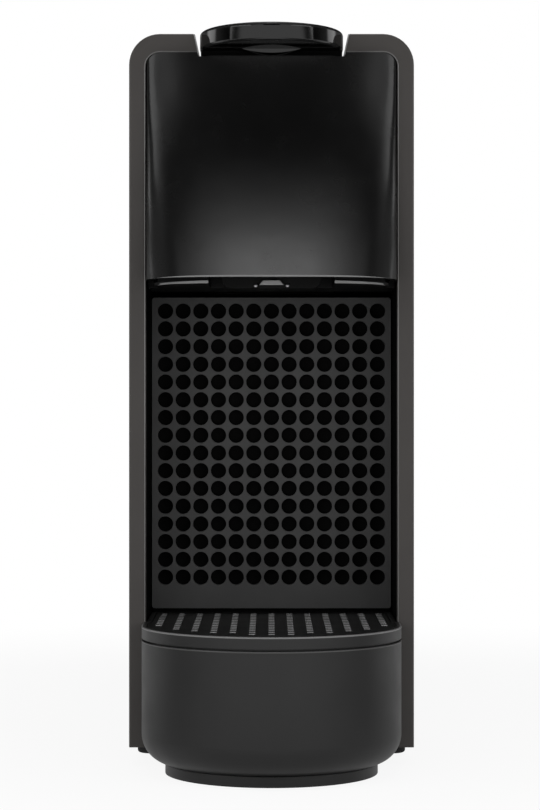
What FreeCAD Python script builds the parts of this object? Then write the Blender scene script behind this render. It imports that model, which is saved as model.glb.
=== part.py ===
import FreeCAD, Part
import math
import os

from FreeCAD import Vector

# Slim pod coffee machine. Millimetres, +X right seen from the front, +Y to the back, +Z up.

# Overall size
BODY_W = 81.0
BODY_TOP = 208.0
FOOT_H = 5.2
TRAY_TIP_Y = -165.0
TANK_BACK_Y = 165.0

# Clearances
GAP = 0.4
SLIDE_GAP = 0.3
RUN_FIT = 0.05
CUT = 1.0

# Outer shell
FRONT_Y = -118.0
SHELL_BACK_Y = 98.0
REAR_WALL_T = 3.0
SHELL_WALL = 2.5
FRAME_FACE = 4.7
FRAME_TOP = 5.3
FRAME_DEPTH = 5.0
CORNER_R = 8.8
FRAME_EDGE_R = 0.6
HALF_W = BODY_W / 2
INNER_HALF = HALF_W - SHELL_WALL
MOUTH_HALF = HALF_W - FRAME_FACE
MOUTH_TOP = BODY_TOP - FRAME_TOP
FRAME_BACK_Y = FRONT_Y + FRAME_DEPTH
SKIN_Z = BODY_TOP - SHELL_WALL

# Lever and its shaft
PIVOT_Y = -38.0
PIVOT_Z = BODY_TOP - 12.0
LEVER_HALF = 20.3
LEVER_REACH = 23.4
LEVER_BAND = 5.0
LEVER_LEAN = 0.8
LEVER_UNDERCUT = 0.2
LEVER_TOP = BODY_TOP - 0.1
LEVER_BOTTOM = BODY_TOP - 6.4
LEVER_HEEL_R = 15.7
RIB_FRONT_Y = FRONT_Y - 6.0
RIB_HALF = 8.6
RIB_DROP = 1.15
RIB_LEAN = 0.2
SLOT_FLOOR = BODY_TOP - 6.9
SLOT_HALF_LOW = LEVER_HALF + GAP
SLOT_HALF_TOP = LEVER_HALF + 1.9
SHAFT_R = 3.0
BUSH_WALL = 1.2
CHEEK_IN = 13.0
CHEEK_OUT = LEVER_HALF - 2.0
CHEEK_DROP = 7.0

# Gear drive between the lever and the sliding brew chamber
MODULE = 2.0
PITCH_R = 20.0
PRESSURE = math.radians(20.0)
TOOTH_CLEAR = 0.3
GEAR_TEETH = round(2 * PITCH_R / MODULE)
TOOTH_PITCH = math.pi * MODULE
PLATE_IN = INNER_HALF - 7.0
GEAR_OUT = PLATE_IN - 2.2
GEAR_T = 4.6
GEAR_IN = GEAR_OUT - GEAR_T
SECTOR_FIRST = -1
SECTOR_LAST = 5
LEVER_SWING = math.radians(80.0)
CHAMBER_TRAVEL = PITCH_R * LEVER_SWING
RACK_PITCH_Z = PIVOT_Z - PITCH_R
RACK_BODY_H = 5.0
GEAR_HUB_R = 7.0
KEY_Z = RACK_PITCH_Z - 5.5
KEY_HALF = 1.4
KEY_OUT = PLATE_IN + 1.6

# Brew unit
BREW_DROP = 13.0
BREW_Z = RACK_PITCH_Z - BREW_DROP
CAGE_FRONT_Y = -52.0
CAGE_L = 30.0
CAGE_R = 18.5
CAPSULE_R = 15.0
CAPSULE_TAIL_R = 12.4
CHAMBER_L = 17.0
FLANGE_GAP = 1.2
SNOUT_L = 15.0
INJECTOR_R = 5.0
INJECTOR_L = 8.0
PLATE_SEAT = 1.6
SEAT_R = CAPSULE_R + 1.2
PLATE_T = 3.0
PLATE_FRONT_Y = -100.0
PLATE_BACK_Y = 6.0
FLOOR_T = 2.5
DECK_T = 2.5
DECK_TOP = SLOT_FLOOR - GAP
CHAMBER_BACK_Y = CAGE_FRONT_Y - FLANGE_GAP
CHAMBER_FRONT_Y = CHAMBER_BACK_Y - CHAMBER_L
CAGE_BACK_Y = CAGE_FRONT_Y + CAGE_L

# Cup bay, drip tray and capsule container
HEAD_H = 70.4
FASCIA_BOTTOM = BODY_TOP - HEAD_H
RING_TOP = 40.9
PANEL_Y = FRONT_Y + 31.6
PANEL_T = 1.8
PANEL_BOTTOM = RING_TOP + 1.2
PANEL_TOP = FASCIA_BOTTOM - 3.2
DOT_PITCH_X = 5.25
DOT_PITCH_Z = 5.27
DOT_D = 4.55
DOT_EDGE = 1.2
DOT_FOOT = 6.0
DOT_TOP_Z = PANEL_TOP - 4.0
TRAY_R = HALF_W - 4.2
TRAY_AXIS_Y = TRAY_TIP_Y + TRAY_R
TRAY_IN_HALF = MOUTH_HALF - SLIDE_GAP
DOTS_ASIDE = int((TRAY_IN_HALF - DOT_D / 2 - DOT_EDGE) / DOT_PITCH_X)
DOT_ROWS = 1 + int((DOT_TOP_Z - DOT_FOOT - PANEL_BOTTOM) / DOT_PITCH_Z)
TRAY_WALL = 2.2
TRAY_BOTTOM = 3.0
TRAY_FILLET = 8.0
SEAM_Z = 37.0
SEAM_H = 0.6
RING_WALL = 1.4
LEDGE_W = 3.4
GRID_T = 2.4
GRID_TOP = RING_TOP
GRID_MARGIN = 3.0
GRID_PITCH_Y = 5.25
SLOT_L = 3.6
SLOT_W = 1.9
FOOT_RING_R = TRAY_R - 6.6
BASE_T = 2.8
BASE_TOP = FOOT_H + BASE_T
SIDE_WALL_TOP = PANEL_TOP + 2.6
CONTAINER_BACK_Y = -24.0
CONTAINER_TOP = PANEL_TOP - 14.4
CONTAINER_WALL = 1.8
CONTAINER_HALF = TRAY_IN_HALF - 0.3
FLOOR_TOP = SIDE_WALL_TOP + FLOOR_T

# Head front
FASCIA_HALF = MOUTH_HALF - GAP
FASCIA_TOP = MOUTH_TOP - GAP
FASCIA_WALL = 2.2
FASCIA_RETURN = 7.0
FASCIA_BACK_Y = FRONT_Y + FASCIA_RETURN
NOSE_BULGE_TOP = 4.0
NOSE_BULGE_BOTTOM = 26.4
NOSE_EDGE = 0.5
NOSE_SQUARE = 3.4
NOSE_POINTS = 16
NOSE_POINTS_IN = 8
UNDER_LOW = FASCIA_BOTTOM - 1.5
UNDER_STEP = FASCIA_BOTTOM - 0.7
OUTLET_Y = -122.0
OUTLET_HALF = 14.0
OUTLET_LOW = FASCIA_BOTTOM - 2.4

# Tank at the back
TANK_FRONT_Y = SHELL_BACK_Y + 1.0
TANK_WALL = 2.0
TANK_BOTTOM = 21.6
LID_H = 14.0
TANK_TOP = BODY_TOP - LID_H
TANK_CORNER_R = 14.0
LID_TOP = BODY_TOP
LID_SKIRT = 6.0
PLATFORM_TOP = TANK_BOTTOM - GAP
VALVE_X = -(HALF_W - 20.5)
VALVE_Y = 128.0
NECK_R = 6.8
NECK_L = 4.5
DOCK_R = NECK_R + 3.0
SEAL_R = NECK_R + 1.3
VALVE_SEAT_Z = TANK_BOTTOM + TANK_WALL
CAP_R = 8.0
CAP_H = 14.0
CAP_WALL = 1.2
POPPET_H = 1.6
SPRING_R = 4.2
SPRING_WIRE = 0.4
SPRING_TURNS = 5
VALVE_BORE_R = 4.0

# Buttons
BUTTON_X = 13.0
BUTTON_Y = 58.0
BUTTON_R = 8.0
BUTTON_PROUD = 0.5
BUTTON_TRAVEL = 1.0
BOARD_T = 1.6
SWITCH_TOP = BODY_TOP - 17.0
SWITCH_H = 5.0
SWITCH_HALF = 3.5
STEM_R = 2.6
BUTTON_BOARD_Z = SWITCH_TOP - SWITCH_H - BOARD_T
BUTTON_BOARD_HALF = INNER_HALF - 7.0
SHELF_W = 6.0
SHELF_T = 3.0

# Circuit board
PCB_IN = INNER_HALF - 12.0
PCB_Y0 = 14.0
PCB_L = 62.0
PCB_H = 56.0
PCB_Y1 = PCB_Y0 + PCB_L
PCB_Z1 = BODY_TOP - 30.0
PCB_Z0 = PCB_Z1 - PCB_H
PCB_HOLE_IN = 5.0
PCB_HOLE_R = 1.6
STANDOFF_R = 2.8
STANDOFF_L = 4.0
RAIL_T = 2.5
RAIL_H = 10.0
RELAY = (10.0, 10.0, 18.0, 12.0, 8.0)
SUPPLY = (34.0, 8.0, 18.0, 20.0, 9.0)
PLUG = (34.0, 38.0, 20.0, 6.0, 6.0)
CAPACITOR_R = 4.0
CAPACITOR_L = 9.0
CAPACITOR_Y = (14.0, 26.0)
CAPACITOR_Z = 42.0

# Water path
PUMP_Z = 42.0
PUMP_FRONT_Y = 8.0
PUMP_TUBE_R = 9.0
PUMP_BORE_R = 6.3
PUMP_L = 58.0
PUMP_CAP = 3.0
MOUNT_IN = 2.0
MOUNT_L = 8.0
MOUNT_HALF = 12.0
COIL_GAP = 2.0
COIL_FRONT_Y = PUMP_FRONT_Y + MOUNT_IN + MOUNT_L + COIL_GAP
COIL_L = PUMP_L - 2 * (MOUNT_IN + MOUNT_L + COIL_GAP) - 2.0
COIL_HALF = 17.0
COIL_HALF_H = 18.0
HEATER_FRONT_Y = 26.0
HEATER_BACK_Y = 78.0
HEATER_H = 22.0
HEATER_LOW = PCB_Z0 - HEATER_H - 8.0
HEATER_HALF = INNER_HALF - 13.0
METER_X = VALVE_X
METER_Y = SHELL_BACK_Y - 18.0
METER_R = 12.5
METER_H = 13.0
HOSE_R = 3.4
HOSE_BORE_R = 2.0
NIPPLE_R = HOSE_BORE_R
HOSE_BEND = 7.0
NIPPLE_OUT = 3.6
WATER_BORE_R = 1.1
HEATER_MID = HEATER_LOW + HEATER_H / 2
HEATER_IN_X = 14.0
BREW_HOSE_Y = HEATER_FRONT_Y + 14.0
HOSE_Z = BASE_TOP + HOSE_R + 0.6
POST_R = 3.2
POST_X = INNER_HALF - 7.0
POST_SPOTS = [(sx * POST_X, y) for sx in (-1, 1) for y in (HEATER_FRONT_Y + 6.0, HEATER_BACK_Y - 18.0)]
SCREW_R = 1.5
SCREW_L = 12.0
SCREW_HEAD_R = 3.0
SCREW_HEAD_H = 1.8

# Cord inlet and feet
GLAND_X = HALF_W - 18.5
GLAND_Z = (BASE_TOP + PLATFORM_TOP - SHELL_WALL) / 2
GLAND_R = 3.6
GLAND_WALL = 1.2
FOOT_R = 4.4
FOOT_X = HALF_W - 5.4
FOOT_SPOTS = [(sx * FOOT_X, y) for sx in (-1, 1) for y in (FRONT_Y + 28.0, TANK_FRONT_Y - 12.0)]


def box(x0, x1, y0, y1, z0, z1):
    return Part.makeBox(x1 - x0, y1 - y0, z1 - z0, Vector(x0, y0, z0))


def rod(x, y, z, axis, radius, length):
    return Part.makeCylinder(radius, length, Vector(x, y, z), axis)


def tube(x, y, z, axis, radius, bore, length):
    return rod(x, y, z, axis, radius, length).cut(rod(x, y, z, axis, bore, length))


X_AXIS = Vector(1, 0, 0)
Y_AXIS = Vector(0, 1, 0)
Z_AXIS = Vector(0, 0, 1)


def rounded_wire(corners):
    # Closed wire through (point, radius) corners, each rounded by a tangent arc.
    edges = []
    starts = []
    ends = []
    mids = []
    count = len(corners)
    for i in range(count):
        here, radius = corners[i]
        back = (corners[i - 1][0] - here).normalize()
        ahead = (corners[(i + 1) % count][0] - here).normalize()
        if radius <= 0:
            starts.append(here)
            ends.append(here)
            mids.append(None)
            continue
        half = back.getAngle(ahead) / 2
        reach = radius / math.tan(half)
        inward = (back + ahead).normalize()
        starts.append(here + back * reach)
        ends.append(here + ahead * reach)
        mids.append(here + inward * (radius / math.sin(half) - radius))
    for i in range(count):
        if mids[i] is not None:
            edges.append(Part.Arc(starts[i], mids[i], ends[i]).toShape())
        after = (i + 1) % count
        if (starts[after] - ends[i]).Length > 1e-6:
            edges.append(Part.LineSegment(ends[i], starts[after]).toShape())
    return Part.Wire(edges)


def front_prism(corners, y0, y1):
    # Outline in X and Z with corner radii, from y0 to y1.
    wire = rounded_wire([(Vector(x, y0, z), r) for x, z, r in corners])
    return Part.Face(wire).extrude(Vector(0, y1 - y0, 0))


def plan_prism(corners, z0, z1):
    # Outline in X and Y with corner radii, from z0 to z1.
    wire = rounded_wire([(Vector(x, y, z0), r) for x, y, r in corners])
    return Part.Face(wire).extrude(Vector(0, 0, z1 - z0))


def side_prism(corners, x0, x1):
    # Outline in Y and Z with corner radii, from x0 to x1.
    wire = rounded_wire([(Vector(x0, y, z), r) for y, z, r in corners])
    return Part.Face(wire).extrude(Vector(x1 - x0, 0, 0))


def mirrored(shape):
    return shape.mirror(Vector(0, 0, 0), X_AXIS)


def pair(shape):
    return [shape, mirrored(shape)]


def rounded(shape, radius, wanted):
    return shape.makeFillet(radius, [edge for edge in shape.Edges if wanted(edge.BoundBox)])


def hose(points, radius=HOSE_R, bore=HOSE_BORE_R, bend=HOSE_BEND):
    # Tube along straight runs joined by tangent arcs.
    edges = []
    start = points[0]
    for i in range(1, len(points) - 1):
        here = points[i]
        back = (points[i - 1] - here).normalize()
        ahead = (points[i + 1] - here).normalize()
        half = back.getAngle(ahead) / 2
        reach = bend / math.tan(half)
        enter = here + back * reach
        leave = here + ahead * reach
        middle = here + (back + ahead).normalize() * (bend / math.sin(half) - bend)
        edges.append(Part.LineSegment(start, enter).toShape())
        edges.append(Part.Arc(enter, middle, leave).toShape())
        start = leave
    edges.append(Part.LineSegment(start, points[-1]).toShape())
    path = Part.Wire(edges)
    along = (points[1] - points[0]).normalize()
    skins = []
    for size in (radius, bore):
        ring = Part.Wire(Part.makeCircle(size, points[0], along))
        skins.append(path.makePipeShell([ring], True, False))
    return skins[0].cut(skins[1])


def save(name, *solids):
    shape = solids[0] if len(solids) == 1 else Part.makeCompound(list(solids))
    shape.exportStep("parts/" + name + ".step")


# Outer shell and chassis


def arch(half, top, radius, y0, y1, low=FOOT_H):
    corners = [(-half, low, 0), (half, low, 0), (half, top, radius), (-half, top, radius)]
    return front_prism(corners, y0, y1)


def heel_zone(radius):
    # Everything in front of the lever shaft, and a cylinder about it behind.
    ahead = box(-HALF_W, HALF_W, TRAY_TIP_Y, PIVOT_Y, PIVOT_Z - radius, PIVOT_Z + 3 * radius)
    return ahead.fuse(rod(-HALF_W, PIVOT_Y, PIVOT_Z, X_AXIS, radius, BODY_W))


def lever_slot():
    slope = (SLOT_HALF_TOP - SLOT_HALF_LOW) / (BODY_TOP - SLOT_FLOOR)
    over = SLOT_HALF_TOP + slope * CUT
    corners = [
        (-SLOT_HALF_LOW, SLOT_FLOOR, 0),
        (SLOT_HALF_LOW, SLOT_FLOOR, 0),
        (over, BODY_TOP + CUT, 0),
        (-over, BODY_TOP + CUT, 0),
    ]
    trough = front_prism(corners, TRAY_TIP_Y + CUT, PIVOT_Y + 2 * LEVER_HEEL_R)
    return trough.common(heel_zone(LEVER_HEEL_R + 0.7))


def outer_shell():
    hollow_half = HALF_W - SHELL_WALL
    below = FOOT_H - CUT
    shell = arch(HALF_W, BODY_TOP, CORNER_R, FRONT_Y, SHELL_BACK_Y)
    hollow = arch(hollow_half, SKIN_Z, CORNER_R - SHELL_WALL, FRAME_BACK_Y, SHELL_BACK_Y + CUT, below)
    mouth = arch(MOUTH_HALF, MOUTH_TOP, CORNER_R - FRAME_FACE, FRONT_Y - CUT, FRAME_BACK_Y + CUT, below)
    shell = shell.cut(hollow).cut(mouth)
    shell = rounded(shell, FRAME_EDGE_R, lambda b: b.YMax < FRONT_Y + 0.01 and b.ZMax > FOOT_H + 0.01)
    shell = shell.cut(lever_slot())
    for x in (-BUTTON_X, BUTTON_X):
        shell = shell.cut(rod(x, BUTTON_Y, SKIN_Z - CUT, Z_AXIS, BUTTON_R + SLIDE_GAP, SHELL_WALL + 2 * CUT))
    return shell


def tank_plan(inset, z0, z1, front=TANK_FRONT_Y):
    half = HALF_W - inset
    y0 = front + inset
    y1 = TANK_BACK_Y - inset
    back_r = TANK_CORNER_R - inset
    front_r = max(3.0 - inset, 0.8)
    corners = [(-half, y0, front_r), (half, y0, front_r), (half, y1, back_r), (-half, y1, back_r)]
    return plan_prism(corners, z0, z1)


def base_chassis():
    half = INNER_HALF - SLIDE_GAP
    wall = SHELL_WALL
    plate = box(-half, half, FRAME_BACK_Y + GAP, TANK_FRONT_Y + 2 * wall, FOOT_H, BASE_TOP)
    platform = tank_plan(0, FOOT_H, PLATFORM_TOP, SHELL_BACK_Y + GAP)
    platform = platform.cut(tank_plan(wall, BASE_TOP, PLATFORM_TOP - wall, SHELL_BACK_Y + GAP))
    chassis = plate.fuse(platform)
    chassis = chassis.cut(rod(VALVE_X, VALVE_Y, BASE_TOP, Z_AXIS, DOCK_R + 0.1, PLATFORM_TOP))
    front_way = HOSE_R + GAP
    chassis = chassis.cut(rod(VALVE_X, SHELL_BACK_Y, HOSE_Z, Y_AXIS, front_way, 2 * wall))
    chassis = chassis.cut(rod(GLAND_X, TANK_BACK_Y - 2 * wall, GLAND_Z, Y_AXIS, GLAND_R, 3 * wall))
    for x, y in POST_SPOTS:
        chassis = chassis.cut(rod(x, y, FOOT_H - CUT, Z_AXIS, SCREW_R, BASE_T + 2 * CUT))
    return chassis.removeSplitter()


def rear_wall():
    half = INNER_HALF - SLIDE_GAP
    top = SKIN_Z - SLIDE_GAP
    corner = CORNER_R - SHELL_WALL - SLIDE_GAP
    front_y = SHELL_BACK_Y - REAR_WALL_T
    wall = arch(half, top, corner, front_y, SHELL_BACK_Y, BASE_TOP)
    wall = wall.cut(rod(VALVE_X, front_y - CUT, HOSE_Z, Y_AXIS, HOSE_R + GAP, REAR_WALL_T + 2 * CUT))
    shelf_in = BUTTON_BOARD_HALF - SHELF_W
    ledge = box(
        shelf_in, BUTTON_BOARD_HALF, BUTTON_Y - 10.0, SHELL_BACK_Y - 2.0,
        BUTTON_BOARD_Z - SHELF_T, BUTTON_BOARD_Z,
    )
    for shelf in pair(ledge):
        wall = wall.fuse(shelf)
    return wall.removeSplitter()


def bay_side_walls():
    wall = box(MOUTH_HALF + 0.2, INNER_HALF - 0.2, FRAME_BACK_Y + 0.2, PLATE_BACK_Y, BASE_TOP, SIDE_WALL_TOP)
    return pair(wall)


# Brew unit frame


def brew_floor():
    half = INNER_HALF - 0.2
    plate = box(-half, half, PANEL_Y + 2.0, PLATE_BACK_Y, SIDE_WALL_TOP, FLOOR_TOP)
    drop = box(-CAGE_R - 1, CAGE_R + 1, PANEL_Y + 5.0, CAGE_FRONT_Y + 2.0, SIDE_WALL_TOP - CUT, FLOOR_TOP + CUT)
    return plate.cut(drop)


def brew_side_plates():
    plate = box(PLATE_IN, PLATE_IN + PLATE_T, PLATE_FRONT_Y, PLATE_BACK_Y, FLOOR_TOP, SKIN_Z - 1.5)
    plate = plate.cut(box(PLATE_IN, PLATE_IN + PLATE_T, PLATE_FRONT_Y, PANEL_Y + 2.0, FLOOR_TOP, FLOOR_TOP + 3))
    groove = box(
        PLATE_IN - CUT, KEY_OUT + SLIDE_GAP, PLATE_FRONT_Y - CUT, PLATE_BACK_Y + CUT,
        KEY_Z - KEY_HALF - SLIDE_GAP, KEY_Z + KEY_HALF + SLIDE_GAP,
    )
    bush = rod(PLATE_IN - CUT, PIVOT_Y, PIVOT_Z, X_AXIS, SHAFT_R + BUSH_WALL, PLATE_T + 2 * CUT)
    return pair(plate.cut(groove).cut(bush))


def lever_bushes():
    bush = tube(PLATE_IN, PIVOT_Y, PIVOT_Z, X_AXIS, SHAFT_R + BUSH_WALL, SHAFT_R + RUN_FIT, PLATE_T)
    return pair(bush)


def top_deck():
    plate = box(-PLATE_IN, PLATE_IN, FASCIA_BACK_Y + GAP, CAGE_FRONT_Y + 3.0, DECK_TOP - DECK_T, DECK_TOP)
    chute = box(
        -CAGE_R - 0.8, CAGE_R + 0.8, CHAMBER_BACK_Y - CHAMBER_TRAVEL, CAGE_FRONT_Y + 3.0 + CUT,
        DECK_TOP - DECK_T - CUT, DECK_TOP + CUT,
    )
    plate = plate.cut(chute)
    gear_reach = PIVOT_Y - PITCH_R - MODULE - CUT
    well = box(
        GEAR_IN - 0.6, PLATE_IN, gear_reach, CAGE_FRONT_Y + 3.0 + CUT,
        DECK_TOP - DECK_T - CUT, DECK_TOP + CUT,
    )
    for side in pair(well):
        plate = plate.cut(side)
    return plate


def cage_carrier():
    inside = GEAR_IN - 1.0
    back = box(-inside, inside, CAGE_BACK_Y, CAGE_BACK_Y + 4.0, FLOOR_TOP, BREW_Z + 14.0)
    bar = box(-PLATE_IN, PLATE_IN, CAGE_BACK_Y, CAGE_BACK_Y + 4.0, FLOOR_TOP, FLOOR_TOP + 10.0)
    carrier = back.fuse(bar).removeSplitter()
    return carrier.cut(rod(0, CAGE_BACK_Y - CUT, BREW_Z, Y_AXIS, INJECTOR_R, 6.0))


def capsule_cage():
    body = rod(0, CAGE_FRONT_Y, BREW_Z, Y_AXIS, CAGE_R, CAGE_L)
    cup = Part.makeCone(CAPSULE_R, CAPSULE_TAIL_R, CAGE_L - 4.0, Vector(0, CAGE_FRONT_Y, BREW_Z), Y_AXIS)
    body = body.cut(cup)
    stem = rod(0, CAGE_BACK_Y, BREW_Z, Y_AXIS, INJECTOR_R, INJECTOR_L)
    nipple = rod(0, CAGE_BACK_Y + INJECTOR_L, BREW_Z, Y_AXIS, NIPPLE_R, 8.0)
    bore = rod(0, CAGE_BACK_Y - 5.0, BREW_Z, Y_AXIS, 1.0, 2 * INJECTOR_L + 6.0)
    return body.fuse(stem).fuse(nipple).cut(bore)


def piercing_blades():
    seat_y = CAGE_BACK_Y - 5.0
    disc = rod(0, seat_y, BREW_Z, Y_AXIS, 9.0, 1.0).cut(rod(0, seat_y, BREW_Z, Y_AXIS, 1.0, 1.0))
    for i in range(3):
        tooth = [(seat_y - 4.5, BREW_Z + 4.5, 0), (seat_y, BREW_Z + 3.0, 0), (seat_y, BREW_Z + 7.0, 0)]
        blade = side_prism(tooth, -0.5, 0.5)
        blade.rotate(Vector(0, 0, BREW_Z), Y_AXIS, 120.0 * i)
        disc = disc.fuse(blade)
    return disc


# Sliding brew chamber with its racks


def chamber_block():
    core = rod(0, CHAMBER_FRONT_Y, BREW_Z, Y_AXIS, CAGE_R, CHAMBER_L)
    beam = box(-GEAR_IN, GEAR_IN, CHAMBER_FRONT_Y, CHAMBER_BACK_Y - 4.0, KEY_Z - 6.0, KEY_Z + 3.0)
    snout = box(-5.0, 5.0, CHAMBER_FRONT_Y - SNOUT_L, CHAMBER_FRONT_Y + 4.0, BREW_Z - 15.0, BREW_Z - 8.0)
    block = core.fuse(beam).fuse(snout).removeSplitter()
    drain = rod(0, CHAMBER_FRONT_Y + 5.0, BREW_Z, Y_AXIS, 14.0, CHAMBER_L - 5.0 - PLATE_SEAT)
    seat = rod(0, CHAMBER_BACK_Y - PLATE_SEAT, BREW_Z, Y_AXIS, SEAT_R, PLATE_SEAT)
    snout_y = CHAMBER_FRONT_Y - SNOUT_L
    channel = box(-2.5, 2.5, snout_y + 2.0, CHAMBER_FRONT_Y + 6.0, BREW_Z - 13.0, BREW_Z - 10.0)
    drop = rod(0, snout_y + 4.5, BREW_Z - 16.0, Z_AXIS, 2.0, 4.0)
    return block.cut(drain).cut(seat).cut(channel).cut(drop)


def extraction_plate():
    disc = rod(0, CHAMBER_BACK_Y - PLATE_SEAT, BREW_Z, Y_AXIS, CAPSULE_R, PLATE_SEAT - 0.4)
    holes = []
    for i in range(-2, 3):
        for j in range(-2, 3):
            holes.append(rod(4.6 * i, CHAMBER_BACK_Y - 2, BREW_Z + 4.6 * j, Y_AXIS, 0.7, 4.0))
    return disc.cut(holes)


def chamber_seal():
    return tube(0, CHAMBER_BACK_Y - PLATE_SEAT, BREW_Z, Y_AXIS, SEAT_R, CAPSULE_R, PLATE_SEAT)


def drive_racks():
    top = RACK_PITCH_Z - 1.25 * MODULE
    low = top - RACK_BODY_H
    arm = box(GEAR_IN, GEAR_OUT, CHAMBER_FRONT_Y, PIVOT_Y + CHAMBER_TRAVEL + TOOTH_PITCH, low, top)
    key = box(GEAR_OUT, KEY_OUT, CHAMBER_FRONT_Y, PIVOT_Y + CHAMBER_TRAVEL, KEY_Z - KEY_HALF, KEY_Z + KEY_HALF)
    rack = arm.fuse(key)
    tip = 0.9 * MODULE
    half = (TOOTH_PITCH / 2 - TOOTH_CLEAR) / 2
    lean = math.tan(PRESSURE)
    for i in range(-2, 5):
        y = PIVOT_Y + (i + 0.5) * TOOTH_PITCH
        foot_w = half + 1.25 * MODULE * lean
        tip_w = half - tip * lean
        corners = [
            (y - foot_w, top, 0), (y + foot_w, top, 0),
            (y + tip_w, RACK_PITCH_Z + tip, 0), (y - tip_w, RACK_PITCH_Z + tip, 0),
        ]
        rack = rack.fuse(side_prism(corners, GEAR_IN, GEAR_OUT))
    return pair(rack.removeSplitter())


# Lever with its shaft and gear sectors


def gear_tooth(centre):
    # One involute tooth; centre is its angle from straight down towards the back.
    base_r = PITCH_R * math.cos(PRESSURE)
    root_r = PITCH_R - 1.4 * MODULE
    tip_r = PITCH_R + 0.9 * MODULE
    at_pitch = (TOOTH_PITCH / 2 - TOOTH_CLEAR) / 2 / PITCH_R
    flank = [(root_r, at_pitch + math.tan(PRESSURE) - PRESSURE)]
    for i in range(8):
        r = base_r + (tip_r - base_r) * i / 7
        roll = math.acos(base_r / r)
        flank.append((r, at_pitch + math.tan(PRESSURE) - PRESSURE - math.tan(roll) + roll))
    points = []
    for r, a in [(r, -a) for r, a in flank] + list(reversed(flank)):
        points.append((PIVOT_Y + r * math.sin(centre + a), PIVOT_Z - r * math.cos(centre + a), 0))
    return side_prism(points, GEAR_IN, GEAR_OUT)


def sector_plate(radius, first, last):
    # Pie slice about the shaft, with angles from straight down towards the back.
    def at(angle):
        return Vector(GEAR_IN, PIVOT_Y + radius * math.sin(angle), PIVOT_Z - radius * math.cos(angle))

    hub = Vector(GEAR_IN, PIVOT_Y, PIVOT_Z)
    rim = Part.Arc(at(first), at((first + last) / 2), at(last)).toShape()
    sides = [Part.LineSegment(at(last), hub).toShape(), Part.LineSegment(hub, at(first)).toShape()]
    return Part.Face(Part.Wire([rim] + sides)).extrude(Vector(GEAR_OUT - GEAR_IN, 0, 0))


def drive_gears():
    step = 2 * math.pi / GEAR_TEETH
    gear = sector_plate(PITCH_R - 1.3 * MODULE, (SECTOR_FIRST - 0.5) * step, (SECTOR_LAST + 0.5) * step)
    gear = gear.fuse(rod(GEAR_IN, PIVOT_Y, PIVOT_Z, X_AXIS, GEAR_HUB_R, GEAR_OUT - GEAR_IN))
    for i in range(SECTOR_FIRST, SECTOR_LAST + 1):
        gear = gear.fuse(gear_tooth(i * step))
    gear = gear.cut(rod(GEAR_IN - CUT, PIVOT_Y, PIVOT_Z, X_AXIS, SHAFT_R, GEAR_OUT - GEAR_IN + 2 * CUT))
    return pair(gear.removeSplitter())


def lever_shaft():
    half = PLATE_IN + PLATE_T
    return rod(-half, PIVOT_Y, PIVOT_Z, X_AXIS, SHAFT_R, 2 * half)


def lever_outline(inset, z):
    # Straight sides and a half-elliptic front, whose tip is set back by the inset.
    half = LEVER_HALF
    back = PIVOT_Y + 2 * LEVER_HEEL_R
    stretch = FreeCAD.Matrix()
    stretch.scale(half, LEVER_REACH - inset, 1.0)
    front = Part.Arc(Vector(-1, 0, 0), Vector(0, -1, 0), Vector(1, 0, 0)).toShape().transformGeometry(stretch)
    front.translate(Vector(0, FRONT_Y, z))
    corners = [
        Vector(half, FRONT_Y, z), Vector(half, back, z),
        Vector(-half, back, z), Vector(-half, FRONT_Y, z),
    ]
    return Part.Wire([front] + Part.makePolygon(corners).Edges)


def finger_rib(z):
    # Lens-shaped rib under the front of the handle, its face leaning down.
    left = Vector(-RIB_HALF, RIB_FRONT_Y, z)
    right = Vector(RIB_HALF, RIB_FRONT_Y, z)
    low = Vector(0, RIB_FRONT_Y + RIB_LEAN, z - RIB_DROP)
    outline = Part.Wire([Part.Arc(left, low, right).toShape(), Part.LineSegment(right, left).toShape()])
    return Part.Face(outline).extrude(Vector(0, FRONT_Y + CUT - RIB_FRONT_Y, 0))


def lever_handle():
    band_low = LEVER_TOP - LEVER_BAND
    handle = Part.makeLoft([lever_outline(LEVER_LEAN, band_low), lever_outline(0, LEVER_TOP)], True, True)
    handle = rounded(handle, 0.9, lambda b: b.ZMin > LEVER_TOP - 0.01 and b.YMin < FRONT_Y + 1)
    handle = rounded(handle, 0.7, lambda b: b.ZMax < band_low + 0.01 and b.YMax < FRONT_Y + 0.1)
    half = LEVER_HALF - LEVER_UNDERCUT
    under = box(-half, half, FRONT_Y, PIVOT_Y + 2 * LEVER_HEEL_R, LEVER_BOTTOM, band_low)
    handle = handle.fuse(under).fuse(finger_rib(band_low))
    return handle.common(heel_zone(LEVER_HEEL_R)).removeSplitter()


def lever_core():
    # Two cheeks under the handle that carry it on the shaft.
    cheek = side_prism(
        [
            (PIVOT_Y - 24.0, LEVER_BOTTOM, 0),
            (PIVOT_Y - 8.0, PIVOT_Z - CHEEK_DROP, 6.0),
            (PIVOT_Y + 8.0, PIVOT_Z - CHEEK_DROP, 6.0),
            (PIVOT_Y + 9.0, LEVER_BOTTOM, 0),
        ],
        CHEEK_IN, CHEEK_OUT,
    )
    bridge = rod(-CHEEK_IN, PIVOT_Y, PIVOT_Z, X_AXIS, SHAFT_R + 2.2, 2 * CHEEK_IN)
    core = cheek.fuse(mirrored(cheek)).fuse(bridge)
    core = core.cut(rod(-HALF_W, PIVOT_Y, PIVOT_Z, X_AXIS, SHAFT_R, BODY_W))
    return core.removeSplitter()


# Head front


def bulge(z):
    rise = (FASCIA_TOP - z) / (FASCIA_TOP - FASCIA_BOTTOM)
    return NOSE_BULGE_TOP + (NOSE_BULGE_BOTTOM - NOSE_BULGE_TOP) * rise * rise


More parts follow.
